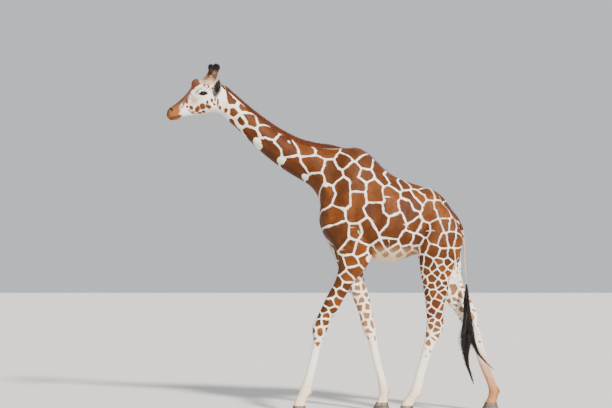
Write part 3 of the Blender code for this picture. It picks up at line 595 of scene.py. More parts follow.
def build_skin():
    skin = rough_skin()
    refine(skin, head_share(points_of(skin.data)) > 0.5, HEAD_CUTS)
    points = points_of(skin.data)
    set_points(skin.data, spread(points, edges_of(skin.data), 6, head_share(points) * 0.5))
    sculpt(skin)
    points = points_of(skin.data)
    fine = np.zeros(len(points), dtype=bool)
    for place in (*EYES.values(), *(from_head(place) for place in both_sides(NOSTRIL))):
        fine |= np.linalg.norm(points - np.array(place), axis=1) < 0.050
    refine(skin, fine, 1)
    open_nostrils(skin)
    open_eyes(skin)
    set_points(skin.data, points_of(skin.data) - normals_of(skin.data) * COAT_DEPTH)
    return skin


def side_relief(places, facing, strokes):
    """How far each vertex rises: places are as seen from the side, facing 1 where it faces out."""
    rise = np.zeros(len(places))
    share = smoothstep(0.15, 0.65, facing)
    for width, height, line in strokes:
        line = np.asarray(line)
        near = np.all((places > line.min(0) - width * 2) & (places < line.max(0) + width * 2), axis=1)
        spots = np.flatnonzero(near & (share > 0))
        rise[spots] += height * on_line(places[spots], line, width) * share[spots]
    return rise


def rib_strokes():
    width, height = RIB_RELIEF
    return [(width, height, ((0.53 + 0.075 * rib, 2.24), (0.50 + 0.072 * rib, 2.00),
                             (0.46 + 0.066 * rib, 1.80))) for rib in range(RIBS)]


def slices_of(name):
    """The middle of a leg at each height."""
    surface, _ = rounded_faces(solid(name), 2)
    rows = []
    for height in np.arange(surface[:, 2].min() + 0.02, surface[:, 2].max(), 0.03):
        ring = surface[np.abs(surface[:, 2] - height) < 0.03]
        middle = (ring.min(0) + ring.max(0)) / 2
        rows.append((middle[0], middle[1], height))
    rows = np.array(rows)
    count = len(rows) - 4
    rows[2:-2, :2] = sum(rows[start:start + count, :2] for start in range(5)) / 5
    return rows


leg_slices = {name: slices_of(name) for name in LEGS}


def leg_turns(name, points):
    """Each point's way round a leg, 0 in front and 180 behind, in degrees."""
    slices = leg_slices[name]
    middle_x, middle_y = (np.interp(points[:, 2], slices[:, 2], slices[:, axis]) for axis in (0, 1))
    return np.degrees(np.arctan2(np.abs(points[:, 0] - middle_x), middle_y - points[:, 1]))


def leg_relief(name, points):
    """Bones, tendons and joints of one leg."""
    coronet, fetlock, joint, top = JOINTS[name]
    height = points[:, 2]
    turn = leg_turns(name, points)
    shank = smoothstep(fetlock + 0.05, fetlock + 0.14, height)
    shank *= 1 - smoothstep(joint - 0.14, joint - 0.05, height)
    rise = shank * (0.0030 * np.exp(-((turn - 150) / 22) ** 2) - 0.0055 * np.exp(-((turn - 112) / 16) ** 2))
    own = FORELEG_RELIEF if name.startswith("fore") else HINDLEG_RELIEF
    for landmark, above, reach, degrees, breadth, lift in (*FETLOCK_RELIEF, *own):
        away = (height - JOINTS[name][landmark] - above) / reach
        rise += lift * np.exp(-away ** 2 - ((turn - degrees) / breadth) ** 2)
    return rise * smoothstep(coronet, coronet + 0.04, height) * (1 - smoothstep(top - 0.2, top, height))


def sculpt(skin):
    """Softens what bulges too sharply, then raises and sinks the surface for what lies under it."""
    points = points_of(skin.data)
    softened = np.zeros(len(points))
    for place, reach in SOFTENED:
        away = np.linalg.norm(points[:, 1:] - place, axis=1)
        softened = np.maximum(softened, 1 - smoothstep(reach * 0.7, reach, away))
    points = spread(points, edges_of(skin.data), 70, softened * 0.6)
    set_points(skin.data, points)
    normals = normals_of(skin.data)
    regions = regions_of(points)
    on_head = head_share(points)
    rise = side_relief(points[:, 1:], normals[:, 0] * np.sign(points[:, 0]), (*BODY_RELIEF, *rib_strokes()))
    rise *= (1 - on_head) * smoothstep(1.42, 1.62, points[:, 2])
    for name in LEGS:
        own = np.flatnonzero(regions == FLESH.index(name))
        rise[own] += leg_relief(name, points[own])
    local = in_head(points)
    facing = normals @ HEAD_AXES[0] * np.sign(local[:, 0])
    rise += side_relief(local[:, 1:], facing, HEAD_RELIEF) * on_head
    set_points(skin.data, points + normals * rise[:, None])


def regions_of(points):
    """For each point, the place in FLESH of the nearest piece of flesh."""
    corners = []
    owners = []
    for index, name in enumerate(FLESH):
        mesh = solid(name)
        mesh.calc_loop_triangles()
        corner = read(mesh.loop_triangles, "vertices", 3, np.int32)
        corners.append(points_of(mesh)[corner.ravel()])
        owners.append(np.full(len(corner), index))
    corners = np.concatenate(corners)
    owners = np.concatenate(owners)
    faces = np.arange(len(corners)).reshape(-1, 3)
    tree = BVHTree.FromPolygons(corners.tolist(), faces.tolist())
    return np.array([owners[tree.find_nearest(point)[2]] for point in points.tolist()])


def eye_frame(side):
    """An eye's middle and, in the head's frame, the way it looks, the way its lids run, and up."""
    looks = unit(mirrored(EYE_LOOKS, side))
    runs = unit(mirrored(EYE_RUNS, side))
    up = np.cross(looks, runs) * side
    return np.array(EYES[side]), looks, runs, up * np.sign(up[2])


def open_eyes(skin):
    """Draws the lids over the eyeballs and sinks the socket between them."""
    points = points_of(skin.data)
    shell = EYE_RADIUS + LID_THICKNESS
    reach, half_height = LID_HALF
    for side in SIDES:
        eye, looks, runs, up = eye_frame(side)
        local = (points - eye) @ HEAD_AXES.T
        out = local @ looks
        across = local @ runs
        height = local @ up - 0.10 * across
        half = half_height * np.sqrt(np.clip(1 - (across / reach) ** 2, 0, 1)) ** 0.9
        inside = half - np.abs(height + 0.002)
        opened = smoothstep(-0.0010, 0.0012, np.where(np.abs(across) < reach, inside, -1))
        radial = np.hypot(across, height)
        lid = np.sqrt(np.clip(shell ** 2 - radial ** 2, 0, None))
        rim = np.exp(-(np.minimum(inside, 0) / 0.0035) ** 2) * 0.0018
        wanted = np.maximum(out, lid + rim * (radial < shell * 1.15))
        moved = out + (wanted - out) * (1 - smoothstep(shell * 0.95, shell * 1.35, radial))
        fold = np.exp(-((radial - shell * 1.02) / 0.004) ** 2) * (height > 0) * 0.0025
        moved = (moved - fold) * (1 - opened) - 0.004 * opened
        near = (np.linalg.norm(local, axis=1) < 0.060) & (out > -0.01) & (radial < shell * 1.5)
        spots = np.flatnonzero(near)
        points[spots] += ((moved - out)[spots, None] * looks) @ HEAD_AXES
    set_points(skin.data, points)


def nostril_slit(offset):
    """0 in the middle of the nostril's slit and 1 at its edge."""
    along = offset[:, 1] * 0.62 + offset[:, 2] * 0.78
    across = offset[:, 1] * 0.78 - offset[:, 2] * 0.62
    return np.hypot(along / 0.019, (across - 18 * along ** 2) / 0.0062)


def open_nostrils(skin):
    """A slanting slit on each side of the muzzle, with a raised rim."""
    points = points_of(skin.data)
    normals = normals_of(skin.data)
    local = in_head(points)
    for side in SIDES:
        offset = local - mirrored(NOSTRIL, side)
        slit = nostril_slit(offset)
        rise = 0.0035 * np.exp(-((slit - 1.5) / 0.6) ** 2) - 0.014 * (1 - smoothstep(0.55, 1.2, slit))
        near = (local[:, 0] * side > 0.012) * (1 - smoothstep(0.022, 0.032, np.linalg.norm(offset, axis=1)))
        points += normals * (rise * near)[:, None]
    set_points(skin.data, points)


# ---- markings ----------------------------------------------------------------------
def onto_skin(tree, side, place):
    """The point of the skin seen at a (back, up) place from one side."""
    hit = tree.ray_cast(Vector((side * 3, *place)), Vector((-side, 0, 0)))[0]
    return np.array(hit) if hit is not None else None


def hand_patches(tree):
    """Middles of the big patches on both sides, each with its patch's number."""
    draw = np.random.default_rng(5)
    seeds = []
    number = 0
    for side in SIDES:
        shift = np.zeros(2) if side > 0 else np.array(FAR_SHIFT)
        for index, group in enumerate((*NECK_PATCHES, *BODY_PATCHES, *(FORELEG_PATCHES if side > 0 else ()))):
            stray = np.zeros(2) if side > 0 else draw.uniform(-FAR_STRAY, FAR_STRAY, 2)
            twin = side < 0 and draw.random() < TWINS
            for place in np.reshape(group, (-1, 2)):
                hit = onto_skin(tree, side, place + shift + stray)
                if hit is not None:
                    seeds.append((*hit, index if twin else number))
            number += 1
    return seeds, number


def leg_patches(name, points, number):
    """Rows of small patches round one leg, down to below its main joint."""
    draw = np.random.default_rng(100 + LEGS.index(name))
    row_height, width, below, highest = LEG_ROWS[name]
    height = JOINTS[name][2] - below
    seeds = []
    row = 0
    while height < highest:
        ring = points[np.abs(points[:, 2] - height) < 0.02]
        middle = (ring.min(0) + ring.max(0)) / 2
        span = (ring.max(0) - ring.min(0)) / 2
        count = max(3, round(math.pi * (span[0] + span[1]) / width))
        for spot in range(count):
            turn = (spot + 0.5 * (row % 2) + draw.uniform(-0.36, 0.36)) * 2 * math.pi / count
            away = (span[0] * math.cos(turn), span[1] * math.sin(turn), draw.uniform(-0.016, 0.016))
            seeds.append((*(np.array((middle[0], middle[1], height)) + away), number))
            number += 1
        height += row_height * draw.uniform(0.85, 1.15)
        row += 1
    return seeds, number


def all_patches(skin, regions):
    """The middles of all patches, each with its patch's number, and how many patches there are."""
    points = points_of(skin.data)
    seeds, number = hand_patches(tree_of(skin.data))
    for name in LEGS:
        more, number = leg_patches(name, points[regions == FLESH.index(name)], number)
        seeds += more
    return np.array(seeds), number


def edge_distance(points, seeds, owners):
    """How deep each point lies in its patch, and which patch that is."""
    depth = np.empty(len(points), dtype=np.float32)
    mine = np.empty(len(points), dtype=np.int32)
    step = 20000
    for start in range(0, len(points), step):
        part = points[start:start + step]
        square = ((part[:, None] - seeds[None]) ** 2).sum(2)
        near = np.argpartition(square, 9, axis=1)[:, :10]
        near_square = np.take_along_axis(square, near, axis=1)
        order = np.argsort(near_square, axis=1)
        near = np.take_along_axis(near, order, axis=1)
        near_square = np.take_along_axis(near_square, order, axis=1)
        first = near[:, :1]
        gap = np.linalg.norm(seeds[near] - seeds[first], axis=2)
        border = (near_square - near_square[:, :1]) / (2 * np.maximum(gap, 1e-6))
        other = owners[near] != owners[first]
        border = np.where(other, border, 9.0)
        depth[start:start + step] = -CORNER * np.log(np.exp(-border / CORNER).sum(1) + 1e-30)
        mine[start:start + step] = owners[first[:, 0]]
    return depth, mine


def ellipse_depth(places, spot):
    forward, up, long, tall, lean = spot
    long, tall = long * SPOT_SIZE, tall * SPOT_SIZE
    turn = math.radians(lean)
    ahead = places[:, 0] - forward
    above = places[:, 1] - up
    along = (ahead * math.cos(turn) + above * math.sin(turn)) / long
    across = (above * math.cos(turn) - ahead * math.sin(turn)) / tall
    return (1 - np.hypot(along, across)) * min(long, tall)


def shade_lines(seen, side, colour, share):
    """Paints shade along the head's creases, each line from some way off the midline."""
    for line, width, start, strength, own in HEAD_SHADE_LINES:
        colour = mix(colour, own, on_line(seen, line, width) * (side > start) * share * strength)
    return colour


def nose_share(local, normals, waver):
    """Where the brown lies along the top of the nose."""
    side, forward, up = np.abs(local[:, 0]), local[:, 1], local[:, 2]
    above = smoothstep(-0.010, 0.012, up - np.interp(forward, *zip(*NOSE_LINE)) + waver * 0.7)
    facing = normals @ HEAD_AXES.T @ np.array((0.0, 0.64, 0.77))
    ridge = smoothstep(-0.12, 0.28, facing + waver * 6) * (1 - smoothstep(0.034, 0.056, side + waver * 0.5))
    return np.maximum(above, ridge) * smoothstep(0.020, 0.050, forward) * (up > -0.24)


def eye_ground(points, colour):
    """The black round each eye, with painted grey shade over it."""
    reach = LID_HALF[0] * 2.0
    for eye in EYES.values():
        offset = (points - np.array(eye)) @ HEAD_AXES.T
        ahead, above = offset[:, 1], offset[:, 2]
        near = np.linalg.norm(offset, axis=1) < 0.09
        half = 0.0200 * np.clip(1 - ((ahead + 0.002) / reach) ** 2, 0, 1) ** 1.05
        rim = 1 - smoothstep(-0.002, 0.006, np.abs(above + 0.0085 + 0.06 * ahead) - half)
        rim *= 1 - smoothstep(reach * 0.96, reach * 1.14, np.abs(ahead + 0.002))
        colour = mix(colour, EYE_BLACK, rim * near)
        # painted shade over the eye, under the brow
        colour = mix(colour, EYE_SHADE_GREY, on_line(offset[:, 1:], EYE_SHADE_LINE, 0.008) * near * 0.45)
    return colour


def head_ground(points, normals, colour):
    """The head's own colours, with painted shade in its creases and over the eyes, under its spots."""
    local = in_head(points)
    share = head_share(points)
    side, forward, up = np.abs(local[:, 0]), local[:, 1], local[:, 2]
    waver = ripple(points, 0.05, 3) * 0.012
    muzzle = smoothstep(0.200, 0.240, forward - 0.25 * (up + 0.20) + waver)
    colour = mix(colour, MUZZLE, muzzle * share)
    crown = 1 - smoothstep(0.030, 0.062, off_line(local[:, 1:], CROWN_LINE) + waver)
    colour = mix(colour, CROWN, crown * share * 0.75)
    nose = mix(np.tile(NOSE_BROWN, (len(points), 1)), NOSE_TIP, smoothstep(0.18, 0.33, forward))
    colour = mix(colour, nose, nose_share(local, normals, waver) * share)
    lump = 1 - smoothstep(0.058, 0.072, np.linalg.norm(local - (0, 0.060, 0.080), axis=1) + waver * 0.5)
    colour = mix(colour, LUMP, lump * share)
    # painted shade: dark lines in the lips' crease, the fold before each eye and under the jaw's edge
    colour = shade_lines(local[:, 1:], side, colour, share)
    cheek = np.exp(-((forward - 0.090) / 0.050) ** 2 - ((up + 0.078) / 0.058) ** 2)
    colour = mix(colour, CHEEK, cheek * share * 0.95)
    colour = eye_ground(points, colour)
    for place in both_sides(NOSTRIL):
        offset = local - place
        dark = 1 - smoothstep(1.0, 1.45, nostril_slit(offset))
        dark *= 1 - smoothstep(0.030, 0.045, np.linalg.norm(offset, axis=1))
        colour = mix(colour, DARK, dark * 0.95)
    return colour


def ear_shares(local, normals, proud):
    """Where the skin is ear, and where it is the inside of one."""
    ear = np.zeros(len(local))
    inside = np.zeros(len(local))
    for side in SIDES:
        root, axis, opens, across = ear_frame(side)
        offset = local - root
        along = offset @ axis / EAR_LENGTH
        own = (proud > 0) & (along > -0.1) & (local[:, 0] * side > 0)
        half, curl, back = ear_section(along)[:3]
        middle = root + axis * (along * EAR_LENGTH)[:, None] + opens * (2 * half / curl - back)[:, None]
        inward = (unit(middle - local) * (normals @ HEAD_AXES.T)).sum(1)
        ear = np.where(own, smoothstep(0.002, 0.008, proud), ear)
        rim = smoothstep(0.80, 0.97, np.abs(offset @ across) / half)
        inside = np.where(own, smoothstep(-0.1, 0.4, inward) * (1 - 0.8 * rim), inside)
    return ear, inside * ear


def tail_share(points):
    """1 on the tail's stem below its root, 0 elsewhere."""
    tree = tree_of(solid("tail"))
    share = np.zeros(len(points))
    for spot in np.flatnonzero((points[:, 1] > 1.20) & (np.abs(points[:, 0]) < 0.06) & (points[:, 2] > 1.2)):
        gap = tree.find_nearest(points[spot].tolist())[3]
        share[spot] = 1 - smoothstep(0.006, 0.012, gap)
    return share * (1 - smoothstep(1.86, 1.97, points[:, 2]))


def ear_mouth_shade(local):
    """Where painted shade from each ear's opening runs down over its seat."""
    side, forward, up = np.abs(local[:, 0]), local[:, 1], local[:, 2]
    away = np.hypot((forward + 0.126) / 0.034, (up - 0.010) / 0.064)
    beside = smoothstep(0.055, 0.070, side) * smoothstep(0.185, 0.155, side)
    return (1 - smoothstep(0.72, 1.05, away)) * beside


def underside(points, normals, regions):
    """1 under the belly, where the coat is pale."""
    back, up = points[:, 1], points[:, 2]
    belly = smoothstep(0.45, 0.95, -normals[:, 2]) * (up > 1.4) * (up < 2.3) * (back > 0.25) * (back < 1.05)
    low = smoothstep(1.76, 1.64, up) * (back > 0.42) * (back < 0.95) * (regions == FLESH.index("trunk"))
    return np.maximum(belly, low)


def leg_lines(name, points, normals, waver):
    """On one leg: the white lines' width, how far below the joint a point is and how far inside the leg."""
    wide, high, low, more, gone, whole = FORELEG_LINES if name.startswith("fore") else HINDLEG_LINES
    joint = JOINTS[name][2]
    up = points[:, 2]
    inner = smoothstep(-0.1, 0.6, -normals[:, 0] * side_of(name))
    below = smoothstep(joint + high, joint + low, up + waver * 0.05)
    width = wide + more * below ** 1.5
    width += INNER_LINE[name] * inner * smoothstep(1.75, 1.45, up)
    width += 0.4 * (1 - smoothstep(joint + gone, joint + whole, up + waver * 0.03)) ** 2
    return width, below, inner


def white_lines(points, normals, regions):
    """How wide the white lines are, wider where the patches thin out, and how pale the patches."""
    back, up = points[:, 1], points[:, 2]
    leg = regions - FLESH.index(LEGS[0])
    waver = ripple(points, 0.10, 31)
    line = np.where(regions == FLESH.index("neck"), LINE["neck"] + 0.007 * smoothstep(-0.80, -0.98, back),
                    LINE["trunk"])
    line += (LINE["rump"] - LINE["trunk"]) * smoothstep(0.78, 1.00, back) * (up > 1.3)
    pale = np.zeros(len(points))
    share = 1 - smoothstep(1.42, 1.70, up)
    for index, name in enumerate(LEGS):
        width, below, inner = leg_lines(name, points, normals, waver)
        line = np.where(leg == index, line * (1 - share) + width * share, line)
        pale = np.where(leg == index, 0.35 * below + 0.35 * inner * share, pale)
    line *= 1 + LINE_SWING * ripple(points, 0.085, 33)
    under = underside(points, normals, regions)
    line += 0.003 * under
    line += 0.05 * smoothstep(1.665, 1.585, up + waver * 0.012) * (back > 0.30) * (back < 1.0) * (leg < 0)
    return line, np.maximum(pale, 0.75 * under)


def cut_patches(points, depth, stray):
    """Takes the blank places and the creases out of the patches."""
    places = points[:, 1:]
    for *middle, radius in BLANKS:
        away = np.linalg.norm(places + stray[:, 1:] * 0.006 - middle, axis=1)
        depth = np.minimum(depth, away - radius)
    for crease in CREASES:
        start = np.linalg.norm(places - crease[0], axis=1)
        half = CREASE_HALF * (1 - 0.8 * smoothstep(0, math.dist(*crease), start))
        depth = np.minimum(depth, off_line(places + stray[:, 1:] * 0.008, crease) - half)
    return depth


def face_spots(points, stray):
    """How deep a point lies in a spot of the face, and where the spots replace the body's patches."""
    local = in_head(points)
    spots = np.full(len(points), -0.02)
    quiver = np.stack([ripple(points, 0.022, seed) for seed in (41, 42)], axis=1)
    for spot in FACE_SPOTS:
        places = local[:, 1:] + stray[:, :2] * 0.004 + quiver * min(spot[2:4]) * 0.14
        spots = np.maximum(spots, ellipse_depth(places, spot))
    spots = np.where(np.abs(local[:, 0]) > 0.02, spots, -0.02)
    behind = np.interp(local[:, 2], *zip(*FACE_EDGE))
    face = smoothstep(-0.006, 0.006, local[:, 1] - behind + stray[:, 0] * 0.006) * (points[:, 2] > 2.95)
    return spots, face


def body_ground(points, normals, regions):
    """The coat's colour under the patches, but for the head's."""
    up = points[:, 2]
    leg = regions - FLESH.index(LEGS[0])
    waver = ripple(points, 0.10, 31)
    colour = mix(np.tile(WHITE, (len(points), 1)), CREAM, 0.75 * underside(points, normals, regions))
    for index, name in enumerate(LEGS):
        fetlock = JOINTS[name][1]
        shank = (1 - smoothstep(fetlock - 0.02, fetlock + 0.30, up + waver * 0.04)) * (leg == index)
        colour = mix(colour, TAN if name == "hindleg_right" else CREAM, shank * 0.8)
    far_hind = (leg == LEGS.index("hindleg_right")) * (1 - smoothstep(0.45, 0.78, up + waver * 0.05))
    colour = mix(colour, ORANGE, far_hind * 0.75)
    knee = (leg == LEGS.index("foreleg_left")) * np.exp(-((up - 0.82) / 0.07) ** 2)
    return mix(colour, KNEE, knee * smoothstep(0.3, 0.9, -normals[:, 1]) * 0.7)


def mark(skin, proud):
    """Works out the coat's colours over the skin and keeps them at its vertices."""
    points = points_of(skin.data)
    normals = normals_of(skin.data)
    regions = regions_of(points)
    local = in_head(points)
    up = points[:, 2]
    seeds, number = all_patches(skin, regions)
    stray = np.stack([ripple(points, 0.16, seed) + 0.4 * ripple(points, 0.045, seed + 9)
                      for seed in (21, 22, 23)], axis=1)
    depth, mine = edge_distance(points + stray * WOBBLE, seeds[:, :3], seeds[:, 3].astype(int))
    line, pale = white_lines(points, normals, regions)
    depth = cut_patches(points, depth - line, stray)
    spots, face = face_spots(points, stray)
    depth = depth * (1 - face) + spots * face

    colour = head_ground(points, normals, body_ground(points, normals, regions))
    stem = tail_share(points)
    brown = smoothstep(0.1, 0.5, ripple(points, 0.05, 51)) * smoothstep(1.55, 1.85, up)
    depth = depth * (1 - stem) + (0.02 * brown - 0.012) * stem
    colour = mix(colour, TAIL_STEM, stem * 0.85)
    ear, inside = ear_shares(local, normals, proud)
    depth = depth * (1 - ear) - 0.02 * ear
    colour = mix(colour, EAR_PALE, ear)
    # the ear's inside is its darker skin, deepened with painted shade of the hollow, and painted shade of the
    # opening runs down over the seat below
    colour = mix(colour, EAR_INSIDE_AND_SHADE, inside * 0.97)
    colour = mix(colour, EAR_INSIDE_AND_SHADE, ear_mouth_shade(local) * 0.95)

    tones = np.random.default_rng(8).uniform(-1, 1, number + 1)
    store(skin.data, "patch", depth)
    store(skin.data, "tone", np.where(face > 0.5, 0.3, tones[mine]))
    store(skin.data, "pale", pale)
    store(skin.data, "ear", ear * (1 - 0.4 * inside))
    # the ground keeps the coat's colour, with painted shade in the head's creases, over the eyes and in the
    # ears' hollows
    store(skin.data, "ground", colour)
    on_head = head_share(points)
    on_neck = (regions == FLESH.index("neck")) * (1 - on_head)
    on_leg = (regions >= FLESH.index(LEGS[0])) * (1 - smoothstep(1.5, 1.8, up))
    grain = np.stack([on_head, on_neck, on_leg], axis=1)
    store(skin.data, "lie", spread(grain, edges_of(skin.data), 12))


# ---- materials ---------------------------------------------------------------------
class Nodes:
    """Short names for building a material's nodes."""

    def __init__(self, name):
        self.material = bpy.data.materials.new(name)
        self.material.use_nodes = True
        self.tree = self.material.node_tree
        self.shader = self.tree.nodes["Principled BSDF"]
        self.place = self.add("ShaderNodeTexCoord").outputs["Object"]

    def add(self, kind, **settings):
        node = self.tree.nodes.new(kind)
        for key, value in settings.items():
            setattr(node, key, value)
        return node

    def feed(self, socket, value):
        """Links an output to a socket, or sets a number or a colour there."""
        if isinstance(value, bpy.types.NodeSocket):
            self.tree.links.new(value, socket)
        elif value is not None:
            socket.default_value = (*value, 1) if socket.type == "RGBA" else value

    def calc(self, operation, first, second=None, third=None):
        node = self.add("ShaderNodeMath", operation=operation)
        for socket, value in zip(node.inputs, (first, second, third)):
            self.feed(socket, value)
        return node.outputs[0]

    def ramp(self, value, low, high, new_low=0.0, new_high=1.0):
        node = self.add("ShaderNodeMapRange", interpolation_type="SMOOTHSTEP")
        for socket, number in zip(node.inputs, (value, low, high, new_low, new_high)):
            self.feed(socket, number)
        return node.outputs[0]

    def mix(self, share, first, second, kind="MIX", data="RGBA"):
        node = self.add("ShaderNodeMix", data_type=data, blend_type=kind)
        for key, value in (("Factor", share), ("A", first), ("B", second)):
            self.feed(node.inputs[key], value)
        return node.outputs["Result"]

    def mapped(self, source, key, value):
        node = self.add("ShaderNodeMapping")
        node.inputs[key].default_value = value
        self.feed(node.inputs["Vector"], source)
        return node.outputs[0]

    def noise(self, scale, detail=3.0, rough=0.55, stretch=None, lean=0):
        """Noise, stretched along axes that lean by some degrees about X."""
        source = self.place
        if lean:
            source = self.mapped(source, "Rotation", (math.radians(lean), 0, 0))
        if stretch:
            source = self.mapped(source, "Scale", stretch)
        node = self.add("ShaderNodeTexNoise")
        for key, value in (("Vector", source), ("Scale", scale), ("Detail", detail), ("Roughness", rough)):
            self.feed(node.inputs[key], value)
        return node.outputs["Fac"]

    def hairs(self, *stretch, lean=0):
        return self.noise(1.0, 3.0, 0.6, stretch, lean)

    def attribute(self, name, output="Fac"):
        return self.add("ShaderNodeAttribute", attribute_name=name).outputs[output]

    def parts(self, name):
        """The three numbers that an attribute keeps as a colour."""
        node = self.add("ShaderNodeSeparateColor")
        self.feed(node.inputs[0], self.attribute(name, "Color"))
        return node.outputs

    def bump(self, height, strength, distance, normal=None):
        node = self.add("ShaderNodeBump")
        settings = {"Height": height, "Strength": strength, "Distance": distance, "Normal": normal}
        for key, value in settings.items():
            self.feed(node.inputs[key], value)
        return node.outputs["Normal"]

    def set(self, **values):
        for key, value in values.items():
            self.feed(self.shader.inputs[key.replace("_", " ")], value)
        return self.material


def coat_material():
    """Patches and ground from the skin's own attributes, with the lie of short hair over them."""
    kit = Nodes("coat")
    on_head, on_neck, on_leg = kit.parts("lie")
    # the hair runs back and down over the trunk, back along the neck, down the legs
    trunk_hair = kit.hairs(260, 34, 230, lean=35)
    neck_hair = kit.hairs(260, 34, 230, lean=42)
    leg_hair = kit.hairs(300, 300, 42)
    head_hair = kit.hairs(420, 90, 420, lean=-35)
    hair = kit.mix(on_neck, trunk_hair, neck_hair, data="FLOAT")
    hair = kit.mix(on_leg, hair, leg_hair, data="FLOAT")
    hair = kit.mix(on_head, hair, head_hair, data="FLOAT")
    cloud = kit.noise(7.0, 4.0, 0.6)
    streak = kit.noise(1.0, 4.0, 0.6, (16, 4.5, 13), 60)
    depth = kit.attribute("patch")
    ragged = kit.calc("SUBTRACT", kit.calc("MULTIPLY_ADD", hair, 0.006, depth), 0.003)
    inside = kit.ramp(ragged, -0.0022, 0.0026)
    tone = kit.calc("MULTIPLY_ADD", kit.attribute("tone"), 0.22, cloud)
    colour = kit.mix(kit.ramp(tone, 0.30, 0.78), PATCH_DARK, PATCH_LIGHT)
    colour = kit.mix(0.45, colour, PATCH)
    colour = kit.mix(kit.ramp(streak, 0.52, 0.72, 0.0, 0.5), colour, PATCH_DARK)
    colour = kit.mix(kit.ramp(depth, 0.030, 0.095, 0.0, 0.35), colour, PATCH_DARK)
    colour = kit.mix(kit.calc("MULTIPLY", kit.attribute("pale"), 0.75), colour, PATCH_PALE)
    ground = kit.attribute("ground", "Color")
    ground = kit.mix(kit.ramp(cloud, 0.45, 0.75, 0.0, 0.18), ground, hue(214, 190, 160), "MULTIPLY")
    colour = kit.mix(inside, ground, colour)
    colour = kit.mix(kit.ramp(hair, 0.35, 0.62, 0.30, 0.0), colour, hue(120, 88, 66), "MULTIPLY")
    normal = kit.bump(hair, 0.55, 0.0040)
    normal = kit.bump(kit.noise(55, 2.0), 0.15, 0.004, normal)
    kit.set(Specular_IOR_Level=0.18, Sheen_Weight=0.04, Sheen_Roughness=0.5, Sheen_Tint=(1.0, 0.9, 0.8))
    return kit.set(Base_Color=colour, Roughness=kit.ramp(hair, 0.3, 0.7, 0.72, 0.5), Normal=normal)


# ---- ears, joined to the skin ------------------------------------------------------------
def sheet_faces(rows, columns, start=0):
    """Quads over a grid of points held row by row."""
    row, column = np.meshgrid(np.arange(rows - 1), np.arange(columns - 1), indexing="ij")
    first = start + row * columns + column
    return np.stack([first, first + 1, first + columns + 1, first + columns], axis=-1).reshape(-1, 4)


def ear_frame(side):
    """Root of an ear and the ways it points, opens and spreads, in the head's frame."""
    axis = unit(mirrored(EAR_AXIS, side))
    opens = mirrored(EAR_OPENS, side)
    opens = unit(opens - axis * (opens @ axis))
    return mirrored(EAR_SEAT, side), axis, opens, np.cross(axis, opens) * side


def ear_section(along):
    """Half width, curl in radians, set back and thickness of the ear at a share of its length."""
    share = np.clip(along, 0, 1)
    half, curl, thick = (np.interp(share, *zip(*line)) for line in (EAR_HALVES, EAR_CURLS, EAR_THICKS))
    back = 0.018 * np.sin(share * math.pi) - 0.012 * share ** 2
    return half, curl, back, thick


def ear_points(side):
    """The outer and the inner sheet of an ear, each held row by row."""
    rows, columns = EAR_GRID
    root, axis, opens, across = ear_frame(side)
    outer, inner = [], []
    for along in np.linspace(-0.12, 1.0, rows):
        half, curl, back, thick = ear_section(along)
        turns = np.linspace(-curl / 2, curl / 2, columns)[:, None]
        radius = 2 * half / curl
        spine = root + axis * along * EAR_LENGTH - opens * back
        waver = 1 + 0.03 * np.sin(along * 21 + turns * 2)
        place = spine + opens * (radius * (1 - np.cos(turns)) * waver) + across * (radius * np.sin(turns))
        outward = -opens * np.cos(turns) + across * np.sin(turns)
        edge = thick * (0.35 + 0.65 * np.cos(turns / curl * math.pi * 0.96))
        outer.append(place + outward * edge)
        inner.append(place)
    return from_head(np.array(outer).reshape(-1, 3)), from_head(np.array(inner).reshape(-1, 3))


def closed(mesh):
    """Fills a mesh's holes and turns its faces outward."""
    bm = bmesh.new()
    bm.from_mesh(mesh)
    bmesh.ops.holes_fill(bm, edges=[edge for edge in bm.edges if edge.is_boundary])
    bmesh.ops.recalc_face_normals(bm, faces=bm.faces[:])
    bm.to_mesh(mesh)
    bm.free()
    return mesh


def ear_mesh(side):
    rows, columns = EAR_GRID
    count = rows * columns
    faces = [sheet_faces(rows, columns), sheet_faces(rows, columns, count)[:, ::-1]]
    grid = np.arange(count).reshape(rows, columns)
    for line in (grid[:, 0][::-1], grid[0], grid[:, -1], grid[-1][::-1]):
        faces.append(np.stack([line[1:], line[:-1], line[:-1] + count, line[1:] + count], axis=1))
    faces = np.concatenate(faces)
    return closed(mesh_of("ear", np.concatenate(ear_points(side)), faces if side > 0 else faces[:, ::-1]))


def join_ears(skin):
    """Unites the ears with the skin and tells how far each point stands off the old one."""
    before = tree_of(skin.data)
    for side in SIDES:
        ear = new_object("ear", ear_mesh(side))
        union = skin.modifiers.new("ear", "BOOLEAN")
        union.operation = "UNION"
        union.solver = "MANIFOLD"
        union.object = ear
        baked(skin)
        bpy.data.objects.remove(ear)
    points = points_of(skin.data)
    edges = edges_of(skin.data)
    local = in_head(points)
    proud = np.zeros(len(points))
    for side in SIDES:
        root, axis = ear_frame(side)[:2]
        offset = local - root
        near = (np.linalg.norm(offset, axis=1) < 0.30) & (offset @ axis > -0.05) & (local[:, 0] * side > 0)
        for spot in np.flatnonzero(near):
            proud[spot] = before.find_nearest(points[spot].tolist())[3]
    joint = np.exp(-((proud - 0.003) / 0.008) ** 2) * (proud > 0.0008)
    joint = np.maximum(joint, spread(joint[:, None], edges, 3)[:, 0])
    set_points(skin.data, spread(points, edges, 14, np.clip(joint * 1.5, 0, 1) * 0.5))
    return proud


